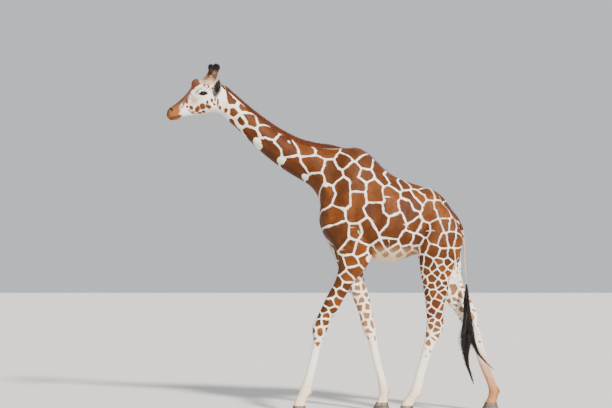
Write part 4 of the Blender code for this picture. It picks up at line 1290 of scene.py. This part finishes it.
# ---- hair as mesh --------------------------------------------------------------------
def strand_mesh(name, points, faces, tips, values):
    """The mesh of many strands alike, each with one point for each number in tips."""
    count = len(points) // len(tips)
    mesh = mesh_of(name, points, faces)
    mesh.polygons.foreach_set("use_smooth", np.ones(len(mesh.polygons), dtype=bool))
    for key, value in values.items():
        store(mesh, key, np.repeat(value, len(tips), axis=0))
    store(mesh, "tip", np.tile(tips, count))
    store(mesh, "strand", np.repeat(rng.random(count), len(tips)))
    return mesh


def patch_corners(shares):
    """A strand's patch on the unwrap: two corners at each share of its length."""
    across = np.tile((-1.0, 1.0), len(shares))
    return np.stack([across, np.repeat(1 - 2 * shares, 2)], axis=1) * OFBAKE_PATCH / 2


def lay_uv(mesh, middles, corners):
    """Unwraps each strand over its own small patch."""
    flat = np.repeat(middles, len(corners), axis=0) + np.tile(corners, (len(middles), 1))
    at = read(mesh.loops, "vertex_index", 1, np.int32)
    layer = mesh.uv_layers.new(name="OFBake")
    layer.data.foreach_set("uv", np.clip(flat, 0.001, 0.999)[at].astype(np.float32).ravel())


def blades(name, roots, ways, faces_up, lengths, widths, lifts, segments=2, uv=None, values=(), wave=0.0,
           shading=None):
    """Tapered blades: each starts at a root, runs along its way and bends off the surface.

    With shading, a blade takes light as the skin under it does, give or take a little.
    """
    count = len(roots)
    ways = unit(ways)
    across = unit(np.cross(ways, faces_up))
    up = np.cross(across, ways)
    rows = []
    for step in range(segments + 1):
        share = step / segments
        rise = lifts * share ** 1.3 * lengths
        middle = roots + ways * (lengths * share)[:, None] + up * rise[:, None]
        if wave:
            swing = np.sin(share * 5 + np.arange(count)) * wave * share * lengths
            middle = middle + across * swing[:, None]
        half = across * (widths * (1 - 0.55 * share) / 2)[:, None]
        rows.append(middle[:, None] if step == segments else np.stack([middle - half, middle + half], axis=1))
    per = 2 * segments + 1
    local = [(2 * step, 2 * step + 1, 2 * step + 3) for step in range(segments - 1)]
    local += [(2 * step, 2 * step + 3, 2 * step + 2) for step in range(segments - 1)]
    local += [(per - 3, per - 2, per - 1)]
    faces = (np.arange(count) * per)[:, None, None] + np.array(local)[None]
    shares = np.arange(segments) / segments
    mesh = strand_mesh(name, np.concatenate(rows, axis=1).reshape(-1, 3), faces.reshape(-1, 3),
                       np.append(np.repeat(shares, 2), 1.0), dict(values))
    if uv is not None:
        lay_uv(mesh, uv, np.concatenate([patch_corners(shares), [(0, -OFBAKE_PATCH / 2)]]))
    if shading is not None:
        tilted = unit(shading + rng.normal(scale=0.13, size=shading.shape) - ways * 0.10)
        mesh.normals_split_custom_set_from_vertices(np.repeat(tilted, per, axis=0).tolist())
    return new_object(name, mesh)


class Roots:
    """Places on the skin, with everything that a tuft takes from there."""

    def __init__(self, skin):
        mesh = skin.data
        mesh.calc_loop_triangles()
        self.corner = read(mesh.loop_triangles, "vertices", 3, np.int32)
        self.points = points_of(mesh)
        self.normals = normals_of(mesh)
        triangles = self.points[self.corner]
        normal = np.cross(triangles[:, 1] - triangles[:, 0], triangles[:, 2] - triangles[:, 0])
        self.area = np.linalg.norm(normal, axis=1) / 2
        self.values = {key: read(mesh.attributes[key].data, "value")
                       for key in ("patch", "tone", "pale", "ear")}
        for key in ("ground", "lie"):
            self.values[key] = read(mesh.attributes[key].data, "color", 4)[:, :3]
        self.uv = None
        if "OFBake" in mesh.uv_layers:
            loops = read(mesh.loop_triangles, "loops", 3, np.int32)
            self.uv = read(mesh.uv_layers["OFBake"].data, "uv", 2)[loops]

    def shares(self):
        """How far each point is of the trunk, and of the head, the neck and the legs."""
        on_head, on_neck, on_leg = self.values["lie"].T
        return np.clip(1 - on_head - on_neck - on_leg, 0, 1), on_head, on_neck, on_leg

    def pick(self, count, density):
        """Draws roots, more of them where the density at the vertices is higher."""
        weight = self.area * density[self.corner].mean(1)
        total = np.cumsum(weight)
        face = np.searchsorted(total, rng.random(count) * total[-1])
        share = rng.dirichlet((1, 1, 1), count)
        corner = self.corner[face]
        blend = {key: (value[corner] * (share[..., None] if value.ndim > 1 else share)).sum(1)
                 for key, value in self.values.items()}
        blend["tone"] = self.values["tone"][corner[:, 0]]
        points = (self.points[corner] * share[..., None]).sum(1)
        normals = unit((self.normals[corner] * share[..., None]).sum(1))
        uv = (self.uv[face] * share[..., None]).sum(1) if self.uv is not None else None
        return points, normals, blend, uv


def hair_way(points, normals, lie, ear):
    """The way the coat lies at each point: back along the neck, down the legs, up from the nose."""
    on_head, on_neck, on_leg = lie.T[:, :, None]
    head = np.array((0, 0, 0.20)) - HEAD_AXES[1] * 0.86
    belly = smoothstep(1.85, 1.65, points[:, 2])[:, None]
    trunk = np.array((0, 0.80, -0.60)) * (1 - belly) + np.array((0, 1.0, -0.1)) * belly
    way = trunk * (1 - on_neck - on_leg - on_head) + np.array((0, 0.70, -0.71)) * on_neck
    way += np.array((0, 0.05, -1.0)) * on_leg + head * on_head
    ear_axis = np.where(in_head(points)[:, :1] > 0, ear_frame(1)[1], ear_frame(-1)[1]) @ HEAD_AXES
    way = np.where(ear[:, None] > 0.5, ear_axis, way)
    way -= normals * (way * normals).sum(1)[:, None]
    way = unit(way) + rng.normal(scale=0.16, size=way.shape)
    return unit(way - 0.6 * normals * (way * normals).sum(1)[:, None])


def coat_tufts(roots):
    """Flat tufts over the whole animal, clear of the eyes, the nostrils, the lips' line and the hooves."""
    points = roots.points
    local = in_head(points)
    trunk, on_head, on_neck, on_leg = roots.shares()
    clear = np.ones(len(points))
    for eye in EYES.values():
        clear *= smoothstep(0.020, 0.034, np.linalg.norm(points - np.array(eye), axis=1))
    for place in both_sides(NOSTRIL):
        clear *= smoothstep(0.016, 0.030, np.linalg.norm(local - place, axis=1))
    clear *= smoothstep(0.010, 0.020, off_line(local[:, 1:], MOUTH)) * (on_head > 0.5) + (on_head <= 0.5)
    clear *= smoothstep(0.09, 0.12, points[:, 2])
    pieces = []
    for name, share, (count, length, width) in (
            ("coat_trunk", trunk, TRUNK_COAT), ("coat_neck", on_neck, NECK_COAT),
            ("coat_head", on_head, HEAD_COAT), ("coat_legs", on_leg, LEG_COAT)):
        spots, out, values, uv = roots.pick(count, share * clear)
        ways = hair_way(spots, out, values["lie"], values["ear"])
        size = rng.uniform(0.7, 1.25, count)
        if name == "coat_head":
            size *= np.interp(in_head(spots)[:, 1], (-0.20, 0.0, 0.2, 0.34), (1.5, 1.0, 0.7, 0.5))
        lifts = rng.uniform(0.02, 0.10, count)
        pieces.append(blades(name, spots - out * 0.0004, ways, out, length * size, width * size, lifts, 2, uv,
                             values, shading=out))
    return pieces


def standing_densities(roots):
    """Where looser tufts stand: belly, brisket, fetlocks, coronets and the line of the back."""
    points, normals = roots.points, roots.normals
    trunk, _, _, on_leg = roots.shares()
    off_middle, back, up = np.abs(points[:, 0]), points[:, 1], points[:, 2]
    belly = trunk * smoothstep(0.45, 0.85, -normals[:, 2]) * (up < 1.85) * (back > 0.15) * (back < 1.08)
    brisket = trunk * smoothstep(0.1, 0.6, -normals[:, 1]) * (up < 2.0) * (off_middle < 0.12) * (back < 0.2)
    fetlock = np.zeros(len(points))
    for name in LEGS:
        low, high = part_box(name)
        near = (back > low.y - 0.02) & (back < high.y + 0.02) & (points[:, 0] * (low.x + high.x) > 0)
        band = np.exp(-((up - JOINTS[name][1] + 0.01) / 0.045) ** 2)
        fetlock = np.maximum(fetlock, near * band * smoothstep(0.45, 0.85, normals[:, 1]))
    coronet = on_leg * np.exp(-((up - 0.112) / 0.014) ** 2)
    spine = trunk * (off_middle < 0.016) * smoothstep(0.08, 0.14, back) * smoothstep(0.66, 0.42, back)
    return belly, brisket, fetlock, coronet, spine * (normals[:, 2] > 0.3) * (up > 2.3)


def joined(arrays):
    """Arrays end to end, or None where there are none."""
    return None if arrays[0] is None else np.concatenate(arrays)


def standing_tufts(roots):
    """Looser tufts where the coat breaks the form."""
    kinds = (BELLY_HAIR, BRISKET_HAIR, FETLOCK_HAIR, CORONET_HAIR, BACK_HAIR)
    parts = []
    for density, kind in zip(standing_densities(roots), kinds):
        count, length, width, lift = kind
        spots, out, values, uv = roots.pick(count, density)
        if kind is BACK_HAIR:
            values["patch"] = np.full(count, 0.02)
        parts.append((spots, out, hair_way(spots, out, values["lie"], values["ear"]),
                      length * rng.uniform(0.6, 1.2, count), width * rng.uniform(0.7, 1.2, count),
                      lift * rng.uniform(0.5, 1.2, count), uv, *values.values()))
    spots, out, ways, lengths, widths, lifts, uv, *values = [joined(column) for column in zip(*parts)]
    return blades("coat_standing", spots - out * 0.0006, ways, out, lengths, widths, lifts, 3, uv,
                  dict(zip(roots.values, values)), shading=out)


def ear_hair():
    """Pale hair along the rims of both ears, leaning over their openings."""
    count = EAR_RIM_HAIRS
    rows, columns = EAR_GRID
    parts = []
    for side in SIDES:
        _, axis, opens, across = ear_frame(side)
        grid = ear_points(side)[1].reshape(rows, columns, 3)
        row = (rng.uniform(0.14, 0.95, count) * (rows - 1)).astype(int)
        inset = rng.integers(0, 3, count)
        last = rng.random(count) < 0.5
        places = grid[row, np.where(last, columns - 1 - inset, inset)]
        places = places + rng.normal(scale=0.0008, size=(count, 3))
        inward = np.where(last, -1, 1) * rng.uniform(0.1, 0.9, count)
        way = axis * 0.9 + across * inward[:, None] + opens * rng.uniform(0.0, 0.6, count)[:, None]
        way = unit(way + rng.normal(scale=0.15, size=(count, 3)))
        parts.append((places, way @ HEAD_AXES, np.tile(opens @ HEAD_AXES, (count, 1))))
    roots, ways, ups = [joined(column) for column in zip(*parts)]
    uv = np.stack([np.tile(np.linspace(0.02, 0.98, count), 2), np.repeat((0.25, 0.75), count)], axis=1)
    return blades("ear_hair", roots, ways, ups, rng.uniform(0.008, 0.022, 2 * count),
                  rng.uniform(0.0008, 0.0016, 2 * count), rng.uniform(0.0, 0.3, 2 * count), 3, uv)


def row_uv(count):
    """Middles for strands side by side across the unwrap."""
    return np.stack([np.linspace(0.02, 0.98, count), np.full(count, 0.5)], axis=1)


def whiskers(roots):
    """A few dark bristles on the lips and chin."""
    count = WHISKERS
    local = in_head(roots.points)
    lips = (local[:, 1] > 0.24) * (local[:, 2] < -0.215) * (roots.values["lie"][:, 0] > 0.5)
    spots, out, _, _ = roots.pick(count, lips.astype(float))
    ways = out + HEAD_AXES[1] * 0.2 - np.array((0, 0, 0.5)) + rng.normal(scale=0.25, size=out.shape)
    return blades("whiskers", spots - out * 0.001, ways, np.tile(HEAD_AXES[1], (count, 1)),
                  rng.uniform(0.010, 0.030, count), np.full(count, 0.0007), rng.uniform(-0.3, 0.1, count), 3,
                  row_uv(count))


def smooth_line(knots, count):
    """Points evenly along a smooth curve through the knots."""
    knots = np.asarray(knots, dtype=float)
    padded = np.concatenate([[2 * knots[0] - knots[1]], knots, [2 * knots[-1] - knots[-2]]])
    pieces = []
    for index in range(len(knots) - 1):
        a, b, c, d = padded[index:index + 4]
        t = np.linspace(0, 1, 24, endpoint=False)[:, None]
        pieces.append(0.5 * (2 * b + (c - a) * t + (2 * a - 5 * b + 4 * c - d) * t ** 2
                             + (3 * b - a - 3 * c + d) * t ** 3))
    line = np.concatenate([*pieces, knots[-1:]])
    gone = np.concatenate([[0], np.cumsum(np.linalg.norm(np.diff(line[:, :3], axis=0), axis=1))])
    wanted = np.linspace(0, gone[-1], count)
    return np.stack([np.interp(wanted, gone, line[:, axis]) for axis in range(line.shape[1])], axis=1)


def ribbons(name, paths, widths, sides):
    """Long hairs as ribbons, one for each row of points; sides gives each ribbon's breadth way."""
    count, steps = paths.shape[:2]
    share = np.linspace(0, 1, steps)
    half = sides[:, None] * (widths[:, None] * (1 - 0.75 * share ** 2)[None] / 2)[..., None]
    points = np.stack([paths - half, paths + half], axis=2).reshape(-1, 3)
    first = (np.arange(count) * steps * 2)[:, None] + np.arange(steps - 1)[None] * 2
    faces = np.stack([first, first + 1, first + 3, first + 2], axis=-1).reshape(-1, 4)
    mesh = strand_mesh(name, points, faces, np.repeat(share, 2), {})
    x, y, height = paths[:, 0].T
    around = np.arctan2(x - x.mean(), y - y.mean()) / (2 * math.pi) + 0.5
    low, high = paths[..., 2].min(), paths[..., 2].max()
    middles = 0.02 + 0.96 * np.stack([around, (height - low) / (high - low)], axis=1)
    lay_uv(mesh, middles, patch_corners(share))
    return new_object(name, mesh)


def tail_path(line):
    """One hair's points along a lock, at its own way and distance from the lock's middle."""
    place = np.linspace(0, 1, len(line))
    start = 0.45 * rng.uniform(0, 1) ** 1.15
    share = np.linspace(start, rng.uniform(min(start + 0.35, 0.95), 1.0), TAIL_STEPS)
    x, y, z, radius = (np.interp(share, place, column) for column in line.T)
    turn = rng.uniform(0, 2 * math.pi) + np.sin(share * rng.uniform(4, 9) + rng.uniform(0, 6)) * 0.5
    out = radius * math.sqrt(rng.uniform(0.05, 1.0)) * (1 + 0.12 * np.sin(share * 23 + rng.uniform(0, 6)))
    out = out * np.linspace(0.45, 1, TAIL_STEPS) ** 0.5
    if rng.random() < STRAY_SHARE:
        out = out * np.linspace(1.0, rng.uniform(1.3, 2.6), TAIL_STEPS)
    return np.stack([x + np.cos(turn) * out, y + np.sin(turn) * out, z], axis=1)


def tail_tuft():
    """Long loose hair along the locks of the tail's tuft."""
    lines = [(smooth_line(lock, 60), count) for lock, count in zip(TUFT_LOCKS, TAIL_HAIRS)]
    paths = np.array([tail_path(line) for line, count in lines for _ in range(count)])
    turn = rng.uniform(0, math.pi, len(paths))
    sides = np.stack([np.cos(turn), np.sin(turn), np.zeros(len(paths))], axis=1)
    tuft = ribbons("tail_hair", paths, rng.uniform(0.0022, 0.0042, len(paths)), sides)
    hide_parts("tail_tuft")
    return tuft


def averaged(values, count):
    """A running mean over an odd count of values."""
    return np.convolve(np.pad(values, count // 2, mode="edge"), np.ones(count) / count, mode="valid")


def crest_line(skin_tree):
    """Stations along the mane: back, x of its ridge, height of its top and of the skin under it."""
    tree = tree_of(solid("mane"))
    low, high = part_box("mane")
    down = Vector((0, 0, -1))
    rows = []
    for back in np.linspace(low.y + 0.004, high.y - 0.01, 160):
        hits = [(x, tree.ray_cast(Vector((x, back, 4.0)), down)[0]) for x in np.linspace(low.x, high.x, 15)]
        tops = [(x, hit.z) for x, hit in hits if hit is not None]
        if tops:
            x, top = max(tops, key=lambda spot: spot[1])
            ground = skin_tree.ray_cast(Vector((x, back, 4.0)), down)[0]
            rows.append((back, x, top, ground.z))
    backs, *others = np.array(rows).T
    return backs, *(averaged(column, 9) for column in others)


def mane_hair(skin_tree):
    """Short upright hair along the crest, from the poll to the withers."""
    stations, *columns = crest_line(skin_tree)
    start, end = stations[0], stations[-1]
    count = MANE_HAIRS
    back = rng.uniform(start, end, count)
    middle, top, ground, tilt = (np.interp(back, stations, column)
                                 for column in (*columns, np.gradient(columns[2], stations)))
    across = np.clip(rng.normal(scale=0.0075, size=count), -0.017, 0.017)
    roots = np.stack([middle + across, back, ground - 0.006 - np.abs(across) * 0.5], axis=1)
    outward = unit(np.stack([across * 9, -tilt, np.ones(count)], axis=1))
    lean = unit(np.stack([np.zeros(count), np.ones(count), tilt], axis=1))
    ways = outward + lean * rng.uniform(0.10, 0.42, count)[:, None]
    ways = unit(ways + rng.normal(scale=0.07, size=(count, 3)))
    tall = (top - ground + 0.010) / np.sqrt(1 + tilt ** 2) * (1 - 0.35 * (across / 0.017) ** 2)
    ends = np.minimum(smoothstep(start - 0.03, start + 0.06, back),
                      1 - smoothstep(end - 0.25, end + 0.01, back) * 0.8)
    tall = np.clip(tall, 0.015, 0.06) * ends * rng.uniform(0.82, 1.06, count)
    across_way = np.stack([np.ones(count), rng.normal(scale=0.6, size=count), np.zeros(count)], axis=1)
    uv = np.stack([0.02 + 0.96 * (back - start) / (end - start), 0.5 + across * 12], axis=1)
    hair = blades("mane_hair", roots, ways, unit(across_way), tall, rng.uniform(0.0018, 0.0034, count),
                  rng.uniform(-0.1, 0.1, count), 3, uv, wave=0.04)
    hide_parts("mane")
    return hair


# ---- ossicones, eyes and hooves --------------------------------------------------------
def ossicone_shape(side):
    """Axis, shares of the length, ways out and rings of points of an ossicone, in the head's frame."""
    rows, columns = OSSICONE_GRID
    foot = mirrored(OSSICONE_FOOT, side)
    spine = mirrored(OSSICONE_TIPS[side], side) - foot
    axis = unit(spine)
    first = unit(np.cross(axis, (0, 1, 0)))
    second = np.cross(axis, first)
    shares = np.linspace(0, 1, rows) ** 0.9
    turns = np.arange(columns) * 2 * math.pi / columns
    radius = averaged(np.interp(shares, *zip(*OSSICONE_RADII)), 7)
    radius[-1] = 0.004
    middle = foot + spine * shares[:, None]
    middle[:, 1] -= 0.010 * np.sin(shares * math.pi)
    ring = np.cos(turns)[:, None] * first + np.sin(turns)[:, None] * second * 0.94
    points = middle[:, None] + ring * radius[:, None, None]
    flare = OSSICONE_FLARE * (1 - smoothstep(0.10, 0.72, shares))
    points[:, :, 1] += flare[:, None] * np.clip(ring[:, 1], 0, 1)
    flat = points.reshape(-1, 3)
    lumps = ripple(flat, 0.05, 61 + side) * 0.0012 + ripple(flat, 0.016, 65) * 0.0004
    return axis, shares, ring, points + ring * lumps.reshape(rows, columns, 1)


def ossicone(side):
    """The hairy skin of an ossicone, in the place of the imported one."""
    _, shares, _, points = ossicone_shape(side)
    rows, columns = OSSICONE_GRID
    grid = np.arange(rows * columns).reshape(rows, columns)
    grid = np.concatenate([grid, grid[:, :1]], axis=1)
    faces = grid.ravel()[sheet_faces(rows, columns + 1)]
    mesh = closed(mesh_of(side_name("ossicone_skin", side), from_head(points.reshape(-1, 3)), faces))
    store(mesh, "share", np.repeat(shares, columns))
    mesh.shade_smooth()
    obj = new_object(mesh.name, mesh)
    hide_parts(side_name("ossicone", side))
    return obj


def ossicone_hair(side):
    """Short brown hair on the column, and a longer black crown round the knob."""
    axis, shares, ring, points = ossicone_shape(side)
    rows, columns = OSSICONE_GRID
    count = OSSICONE_HAIRS
    where = rng.uniform(0.04, 0.99, count)
    spot = rng.integers(0, columns, count)
    row = np.searchsorted(shares, where).clip(1, rows - 1)
    roots = points[row, spot] + rng.normal(scale=0.0012, size=(count, 3))
    out = ring[spot]
    crown = smoothstep(0.74, 0.84, where)
    way = axis * (0.9 + 0.5 * crown)[:, None] + out * (0.22 + 0.55 * crown * (where < 0.96))[:, None]
    way += rng.normal(scale=0.14, size=(count, 3))
    length = 0.011 + 0.012 * crown * rng.uniform(0.6, 1.2, count)
    uv = 0.02 + 0.96 * np.stack([spot / columns, where], axis=1)
    return blades(side_name("ossicone_hair", side), from_head(roots), unit(way) @ HEAD_AXES,
                  unit(out) @ HEAD_AXES, length, rng.uniform(0.0012, 0.0024, count),
                  rng.uniform(0.0, 0.15, count), 2, uv, {"share": where})


def eyeball(side):
    """An eyeball with a bulging cornea, which keeps where each point looks: forward, up and out."""
    eye, looks, _, _ = eye_frame(side)
    radius = EYE_RADIUS * 0.985
    mesh = bpy.data.meshes.new(side_name("eyeball", side))
    bm = bmesh.new()
    bmesh.ops.create_uvsphere(bm, u_segments=48, v_segments=32, radius=radius)
    bm.to_mesh(mesh)
    bm.free()
    points = points_of(mesh)
    out = points[:, 2] / radius
    points *= (1 + smoothstep(0.70, 0.95, out) * CORNEA / EYE_RADIUS)[:, None]
    turn = Vector((0, 0, 1)).rotation_difference(Vector(looks @ HEAD_AXES)).to_matrix()
    points = points @ np.array(turn).T
    _, ahead, above = (points @ HEAD_AXES.T).T
    store(mesh, "look", np.stack([ahead / 0.02, above / 0.02, out], axis=1))
    set_points(mesh, points + eye)
    mesh.shade_smooth()
    obj = new_object(mesh.name, mesh)
    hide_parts(side_name("eye", side))
    return obj


def lashes():
    """Long dark lashes on both upper lids, and short ones below."""
    half_length, half_height = LID_HALF
    parts = []
    for side in SIDES:
        eye, looks, runs, up = eye_frame(side)
        for above, count, reach in LASHES:
            across = rng.uniform(-1.02, 1.02, count)
            height = above * half_height * np.sqrt(np.clip(1 - across ** 2, 0, 1)) - 0.0010
            radial = np.hypot(across * half_length, height)
            out = np.sqrt(np.clip((EYE_RADIUS + 0.003) ** 2 - radial ** 2, 0, None))
            place = looks * out[:, None] + runs * (across * half_length)[:, None] + up * height[:, None]
            way = looks + runs * (across * 0.55 - 0.10)[:, None] + up * (-0.10 if above > 0 else -0.45)
            way = unit(way + rng.normal(scale=0.10, size=place.shape))
            parts.append((place @ HEAD_AXES + eye, way @ HEAD_AXES, reach * rng.uniform(0.7, 1.1, count)))
    roots, ways, lengths = [joined(column) for column in zip(*parts)]
    count = len(roots)
    return blades("lashes", roots, ways, np.tile((0.1, 0.2, -1.0), (count, 1)), lengths,
                  np.full(count, 0.0009), rng.uniform(0.1, 0.35, count), 3, row_uv(count))


def hoof(name):
    """Two toes of horn with growth rings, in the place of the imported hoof."""
    obj = new_object(name.replace("hoof", "horn"), mesh_of("horn", *rounded_faces(solid(name), 4, 0.6)))
    melt(obj, HORN_GRAIN, 6)
    mesh = obj.data
    points = points_of(mesh)
    normals = normals_of(mesh)
    side = 1 - smoothstep(0.4, 0.8, np.abs(normals[:, 2]))
    rings = np.sin(points[:, 2] / 0.0085 * 2 * math.pi + ripple(points, 0.06, 71) * 1.4) * 0.00030
    rings += np.sin(points[:, 2] / 0.023 * 2 * math.pi + ripple(points, 0.10, 72)) * 0.00045
    points += normals * (rings * side)[:, None]
    points[:, 2] = np.maximum(points[:, 2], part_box(name)[0].z + 0.0002)
    set_points(mesh, points)
    mesh.shade_smooth()
    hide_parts(name)
    return obj


def hair_material(name, dark, light, tip_colour, rough=0.5):
    """Hair whose colour varies from strand to strand and along each one."""
    kit = Nodes(name)
    strand = kit.attribute("strand")
    share = kit.calc("MULTIPLY_ADD", kit.noise(14, 2.0), 0.6, kit.calc("MULTIPLY", strand, 0.55))
    colour = kit.mix(share, dark, light)
    colour = kit.mix(kit.ramp(kit.attribute("tip"), 0.45, 1.0, 0.0, 0.7), colour, tip_colour)
    return kit.set(Base_Color=colour, Roughness=kit.ramp(strand, 0, 1, rough - 0.08, rough + 0.1),
                   Specular_IOR_Level=0.35)


def ossicone_material():
    """Brown fur, pale at the foot and black round the knob."""
    kit = Nodes("horn_skin")
    share = kit.attribute("share")
    fur = kit.hairs(420, 420, 70)
    colour = kit.mix(kit.ramp(kit.noise(22, 3.0), 0.35, 0.65), hue(98, 62, 42), hue(172, 122, 84))
    colour = kit.mix(kit.ramp(share, 0.42, 0.10), colour, hue(226, 196, 164))
    knob = kit.ramp(kit.calc("MULTIPLY_ADD", fur, 0.12, share), 0.66, 0.84)
    colour = kit.mix(knob, colour, hue(30, 22, 22))
    colour = kit.mix(kit.ramp(fur, 0.3, 0.6, 0.45, 0.0), colour, hue(70, 48, 38), "MULTIPLY")
    return kit.set(Base_Color=colour, Roughness=kit.ramp(fur, 0.3, 0.7, 0.75, 0.55),
                   Normal=kit.bump(fur, 0.6, 0.0016))


def eye_material():
    """A wet dark brown iris with a level pupil under a clear coat."""
    kit = Nodes("eye")
    ahead, above, _ = kit.parts("look")

    def squares(first, second):
        terms = (kit.calc("POWER", kit.calc("ABSOLUTE", value), 2.0) for value in (first, second))
        return kit.calc("ADD", *terms)

    oval = squares(kit.calc("DIVIDE", ahead, 0.42), kit.calc("DIVIDE", above, 0.20))
    pupil = kit.ramp(oval, 0.8, 1.15, 1.0, 0.0)
    ring = kit.calc("SQRT", squares(ahead, above))
    fibres = kit.noise(160, 3.0)
    iris = kit.mix(kit.ramp(fibres, 0.3, 0.7), hue(22, 12, 8), hue(50, 27, 15))
    colour = kit.mix(kit.ramp(ring, 0.72, 0.92), iris, hue(18, 11, 10))
    colour = kit.mix(pupil, colour, hue(8, 7, 9))
    return kit.set(Base_Color=colour, Roughness=kit.ramp(fibres, 0.3, 0.7, 0.14, 0.22), Coat_Weight=0.28,
                   Coat_Roughness=0.03)


def hoof_material():
    """Grey-brown horn, streaked down and ringed round, dusty below."""
    kit = Nodes("hoof")
    streak = kit.hairs(190, 190, 16)
    rings = kit.noise(1.0, 2.0, 0.5, (9, 9, 150))
    cloud = kit.noise(26, 3.0)
    height = kit.add("ShaderNodeSeparateXYZ")
    kit.feed(height.inputs[0], kit.place)
    colour = kit.mix(kit.ramp(cloud, 0.35, 0.7), hue(52, 44, 40), hue(96, 84, 74))
    colour = kit.mix(kit.ramp(streak, 0.45, 0.7, 0.0, 0.5), colour, hue(124, 110, 94))
    colour = kit.mix(kit.ramp(height.outputs[2], 0.030, 0.0, 0.0, 0.6), colour, hue(150, 132, 104))
    normal = kit.bump(rings, 0.4, 0.0016, kit.bump(streak, 0.35, 0.0012))
    return kit.set(Base_Color=colour, Roughness=kit.ramp(cloud, 0.3, 0.7, 0.42, 0.66), Normal=normal)


# ---- build -------------------------------------------------------------------------
def unwrap(obj):
    """An unwrap of the skin's own shape, which its tufts share."""
    bpy.context.view_layer.objects.active = obj
    obj.select_set(True)
    obj.data.uv_layers.new(name="OFBake")
    bpy.ops.object.mode_set(mode="EDIT")
    bpy.ops.mesh.select_all(action="SELECT")
    bpy.ops.uv.smart_project(angle_limit=math.radians(66), island_margin=0.002)
    bpy.ops.object.mode_set(mode="OBJECT")
    obj.select_set(False)


def settle(piece, material):
    """Rides a piece on the one body and gives it its slot and material."""
    piece.data.materials.append(material)
    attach(piece, "root")


def build_coat():
    """The skin in place of the flesh, and the hair that grows from it."""
    skin = build_skin()
    mark(skin, join_ears(skin))
    skin.data.shade_smooth()
    skin.data.materials.clear()
    coat = coat_material()
    settle(skin, coat)
    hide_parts(*FLESH, "tail", "ear_left", "ear_right")
    unwrap(skin)
    roots = Roots(skin)
    for tuft in (*coat_tufts(roots), standing_tufts(roots)):
        settle(tuft, coat)
    settle(whiskers(roots),
           hair_material("whisker_hair", hue(40, 30, 26), hue(86, 62, 46), hue(60, 44, 36)))
    settle(ear_hair(),
           hair_material("ear_hair", hue(206, 190, 168), hue(244, 234, 218), hue(240, 230, 214)))
    settle(mane_hair(tree_of(skin.data)),
           hair_material("mane_hair", hue(70, 30, 14), hue(122, 60, 28), hue(74, 34, 18)))


def build_details():
    """The tail's hair, the ossicones, the eyes with their lashes, and the hooves."""
    settle(tail_tuft(),
           hair_material("tail_hair", hue(14, 12, 14), hue(48, 38, 36), hue(30, 24, 24), 0.42))
    horn_skin = ossicone_material()
    eye_look = eye_material()
    for side in SIDES:
        settle(ossicone(side), horn_skin)
        settle(ossicone_hair(side), horn_skin)
        settle(eyeball(side), eye_look)
    settle(lashes(),
           hair_material("lash_hair", hue(10, 9, 9), hue(22, 18, 16), hue(9, 8, 8), 0.75))
    horn = hoof_material()
    for name in HOOVES:
        settle(hoof(name), horn)


def build_floor():
    bpy.ops.mesh.primitive_plane_add(size=FLOOR_SIZE, location=(0, 0, 0))
    floor = bpy.context.object
    floor.name = "floor"
    floor.data.materials.append(Nodes("floor").set(Base_Color=hue(220, 218, 214), Roughness=0.7))


def build_light():
    """A soft sky and a broad sun over the camera's right shoulder."""
    world = bpy.data.worlds.new("studio")
    bpy.context.scene.world = world
    world.use_nodes = True
    background = world.node_tree.nodes["Background"]
    background.inputs["Color"].default_value = (*SKY, 1)
    background.inputs["Strength"].default_value = SKY_STRENGTH
    sun = bpy.data.lights.new("key", "SUN")
    sun.energy = SUN_ENERGY
    sun.angle = math.radians(7)
    sun.color = (1.0, 0.96, 0.90)
    key = new_object("key", sun)
    key.rotation_euler = Vector(SUN_WAY).to_track_quat("-Z", "Y").to_euler()


def build_camera():
    lens = bpy.data.cameras.new("camera")
    lens.sensor_width = 36.0
    lens.lens = FOCAL_LENGTH
    camera = new_object("camera", lens)
    camera.location = CAMERA_PLACE
    camera.rotation_euler = (math.radians(90), 0, math.radians(90))
    bpy.context.scene.camera = camera


build_coat()
build_details()
build_floor()
build_light()
build_camera()
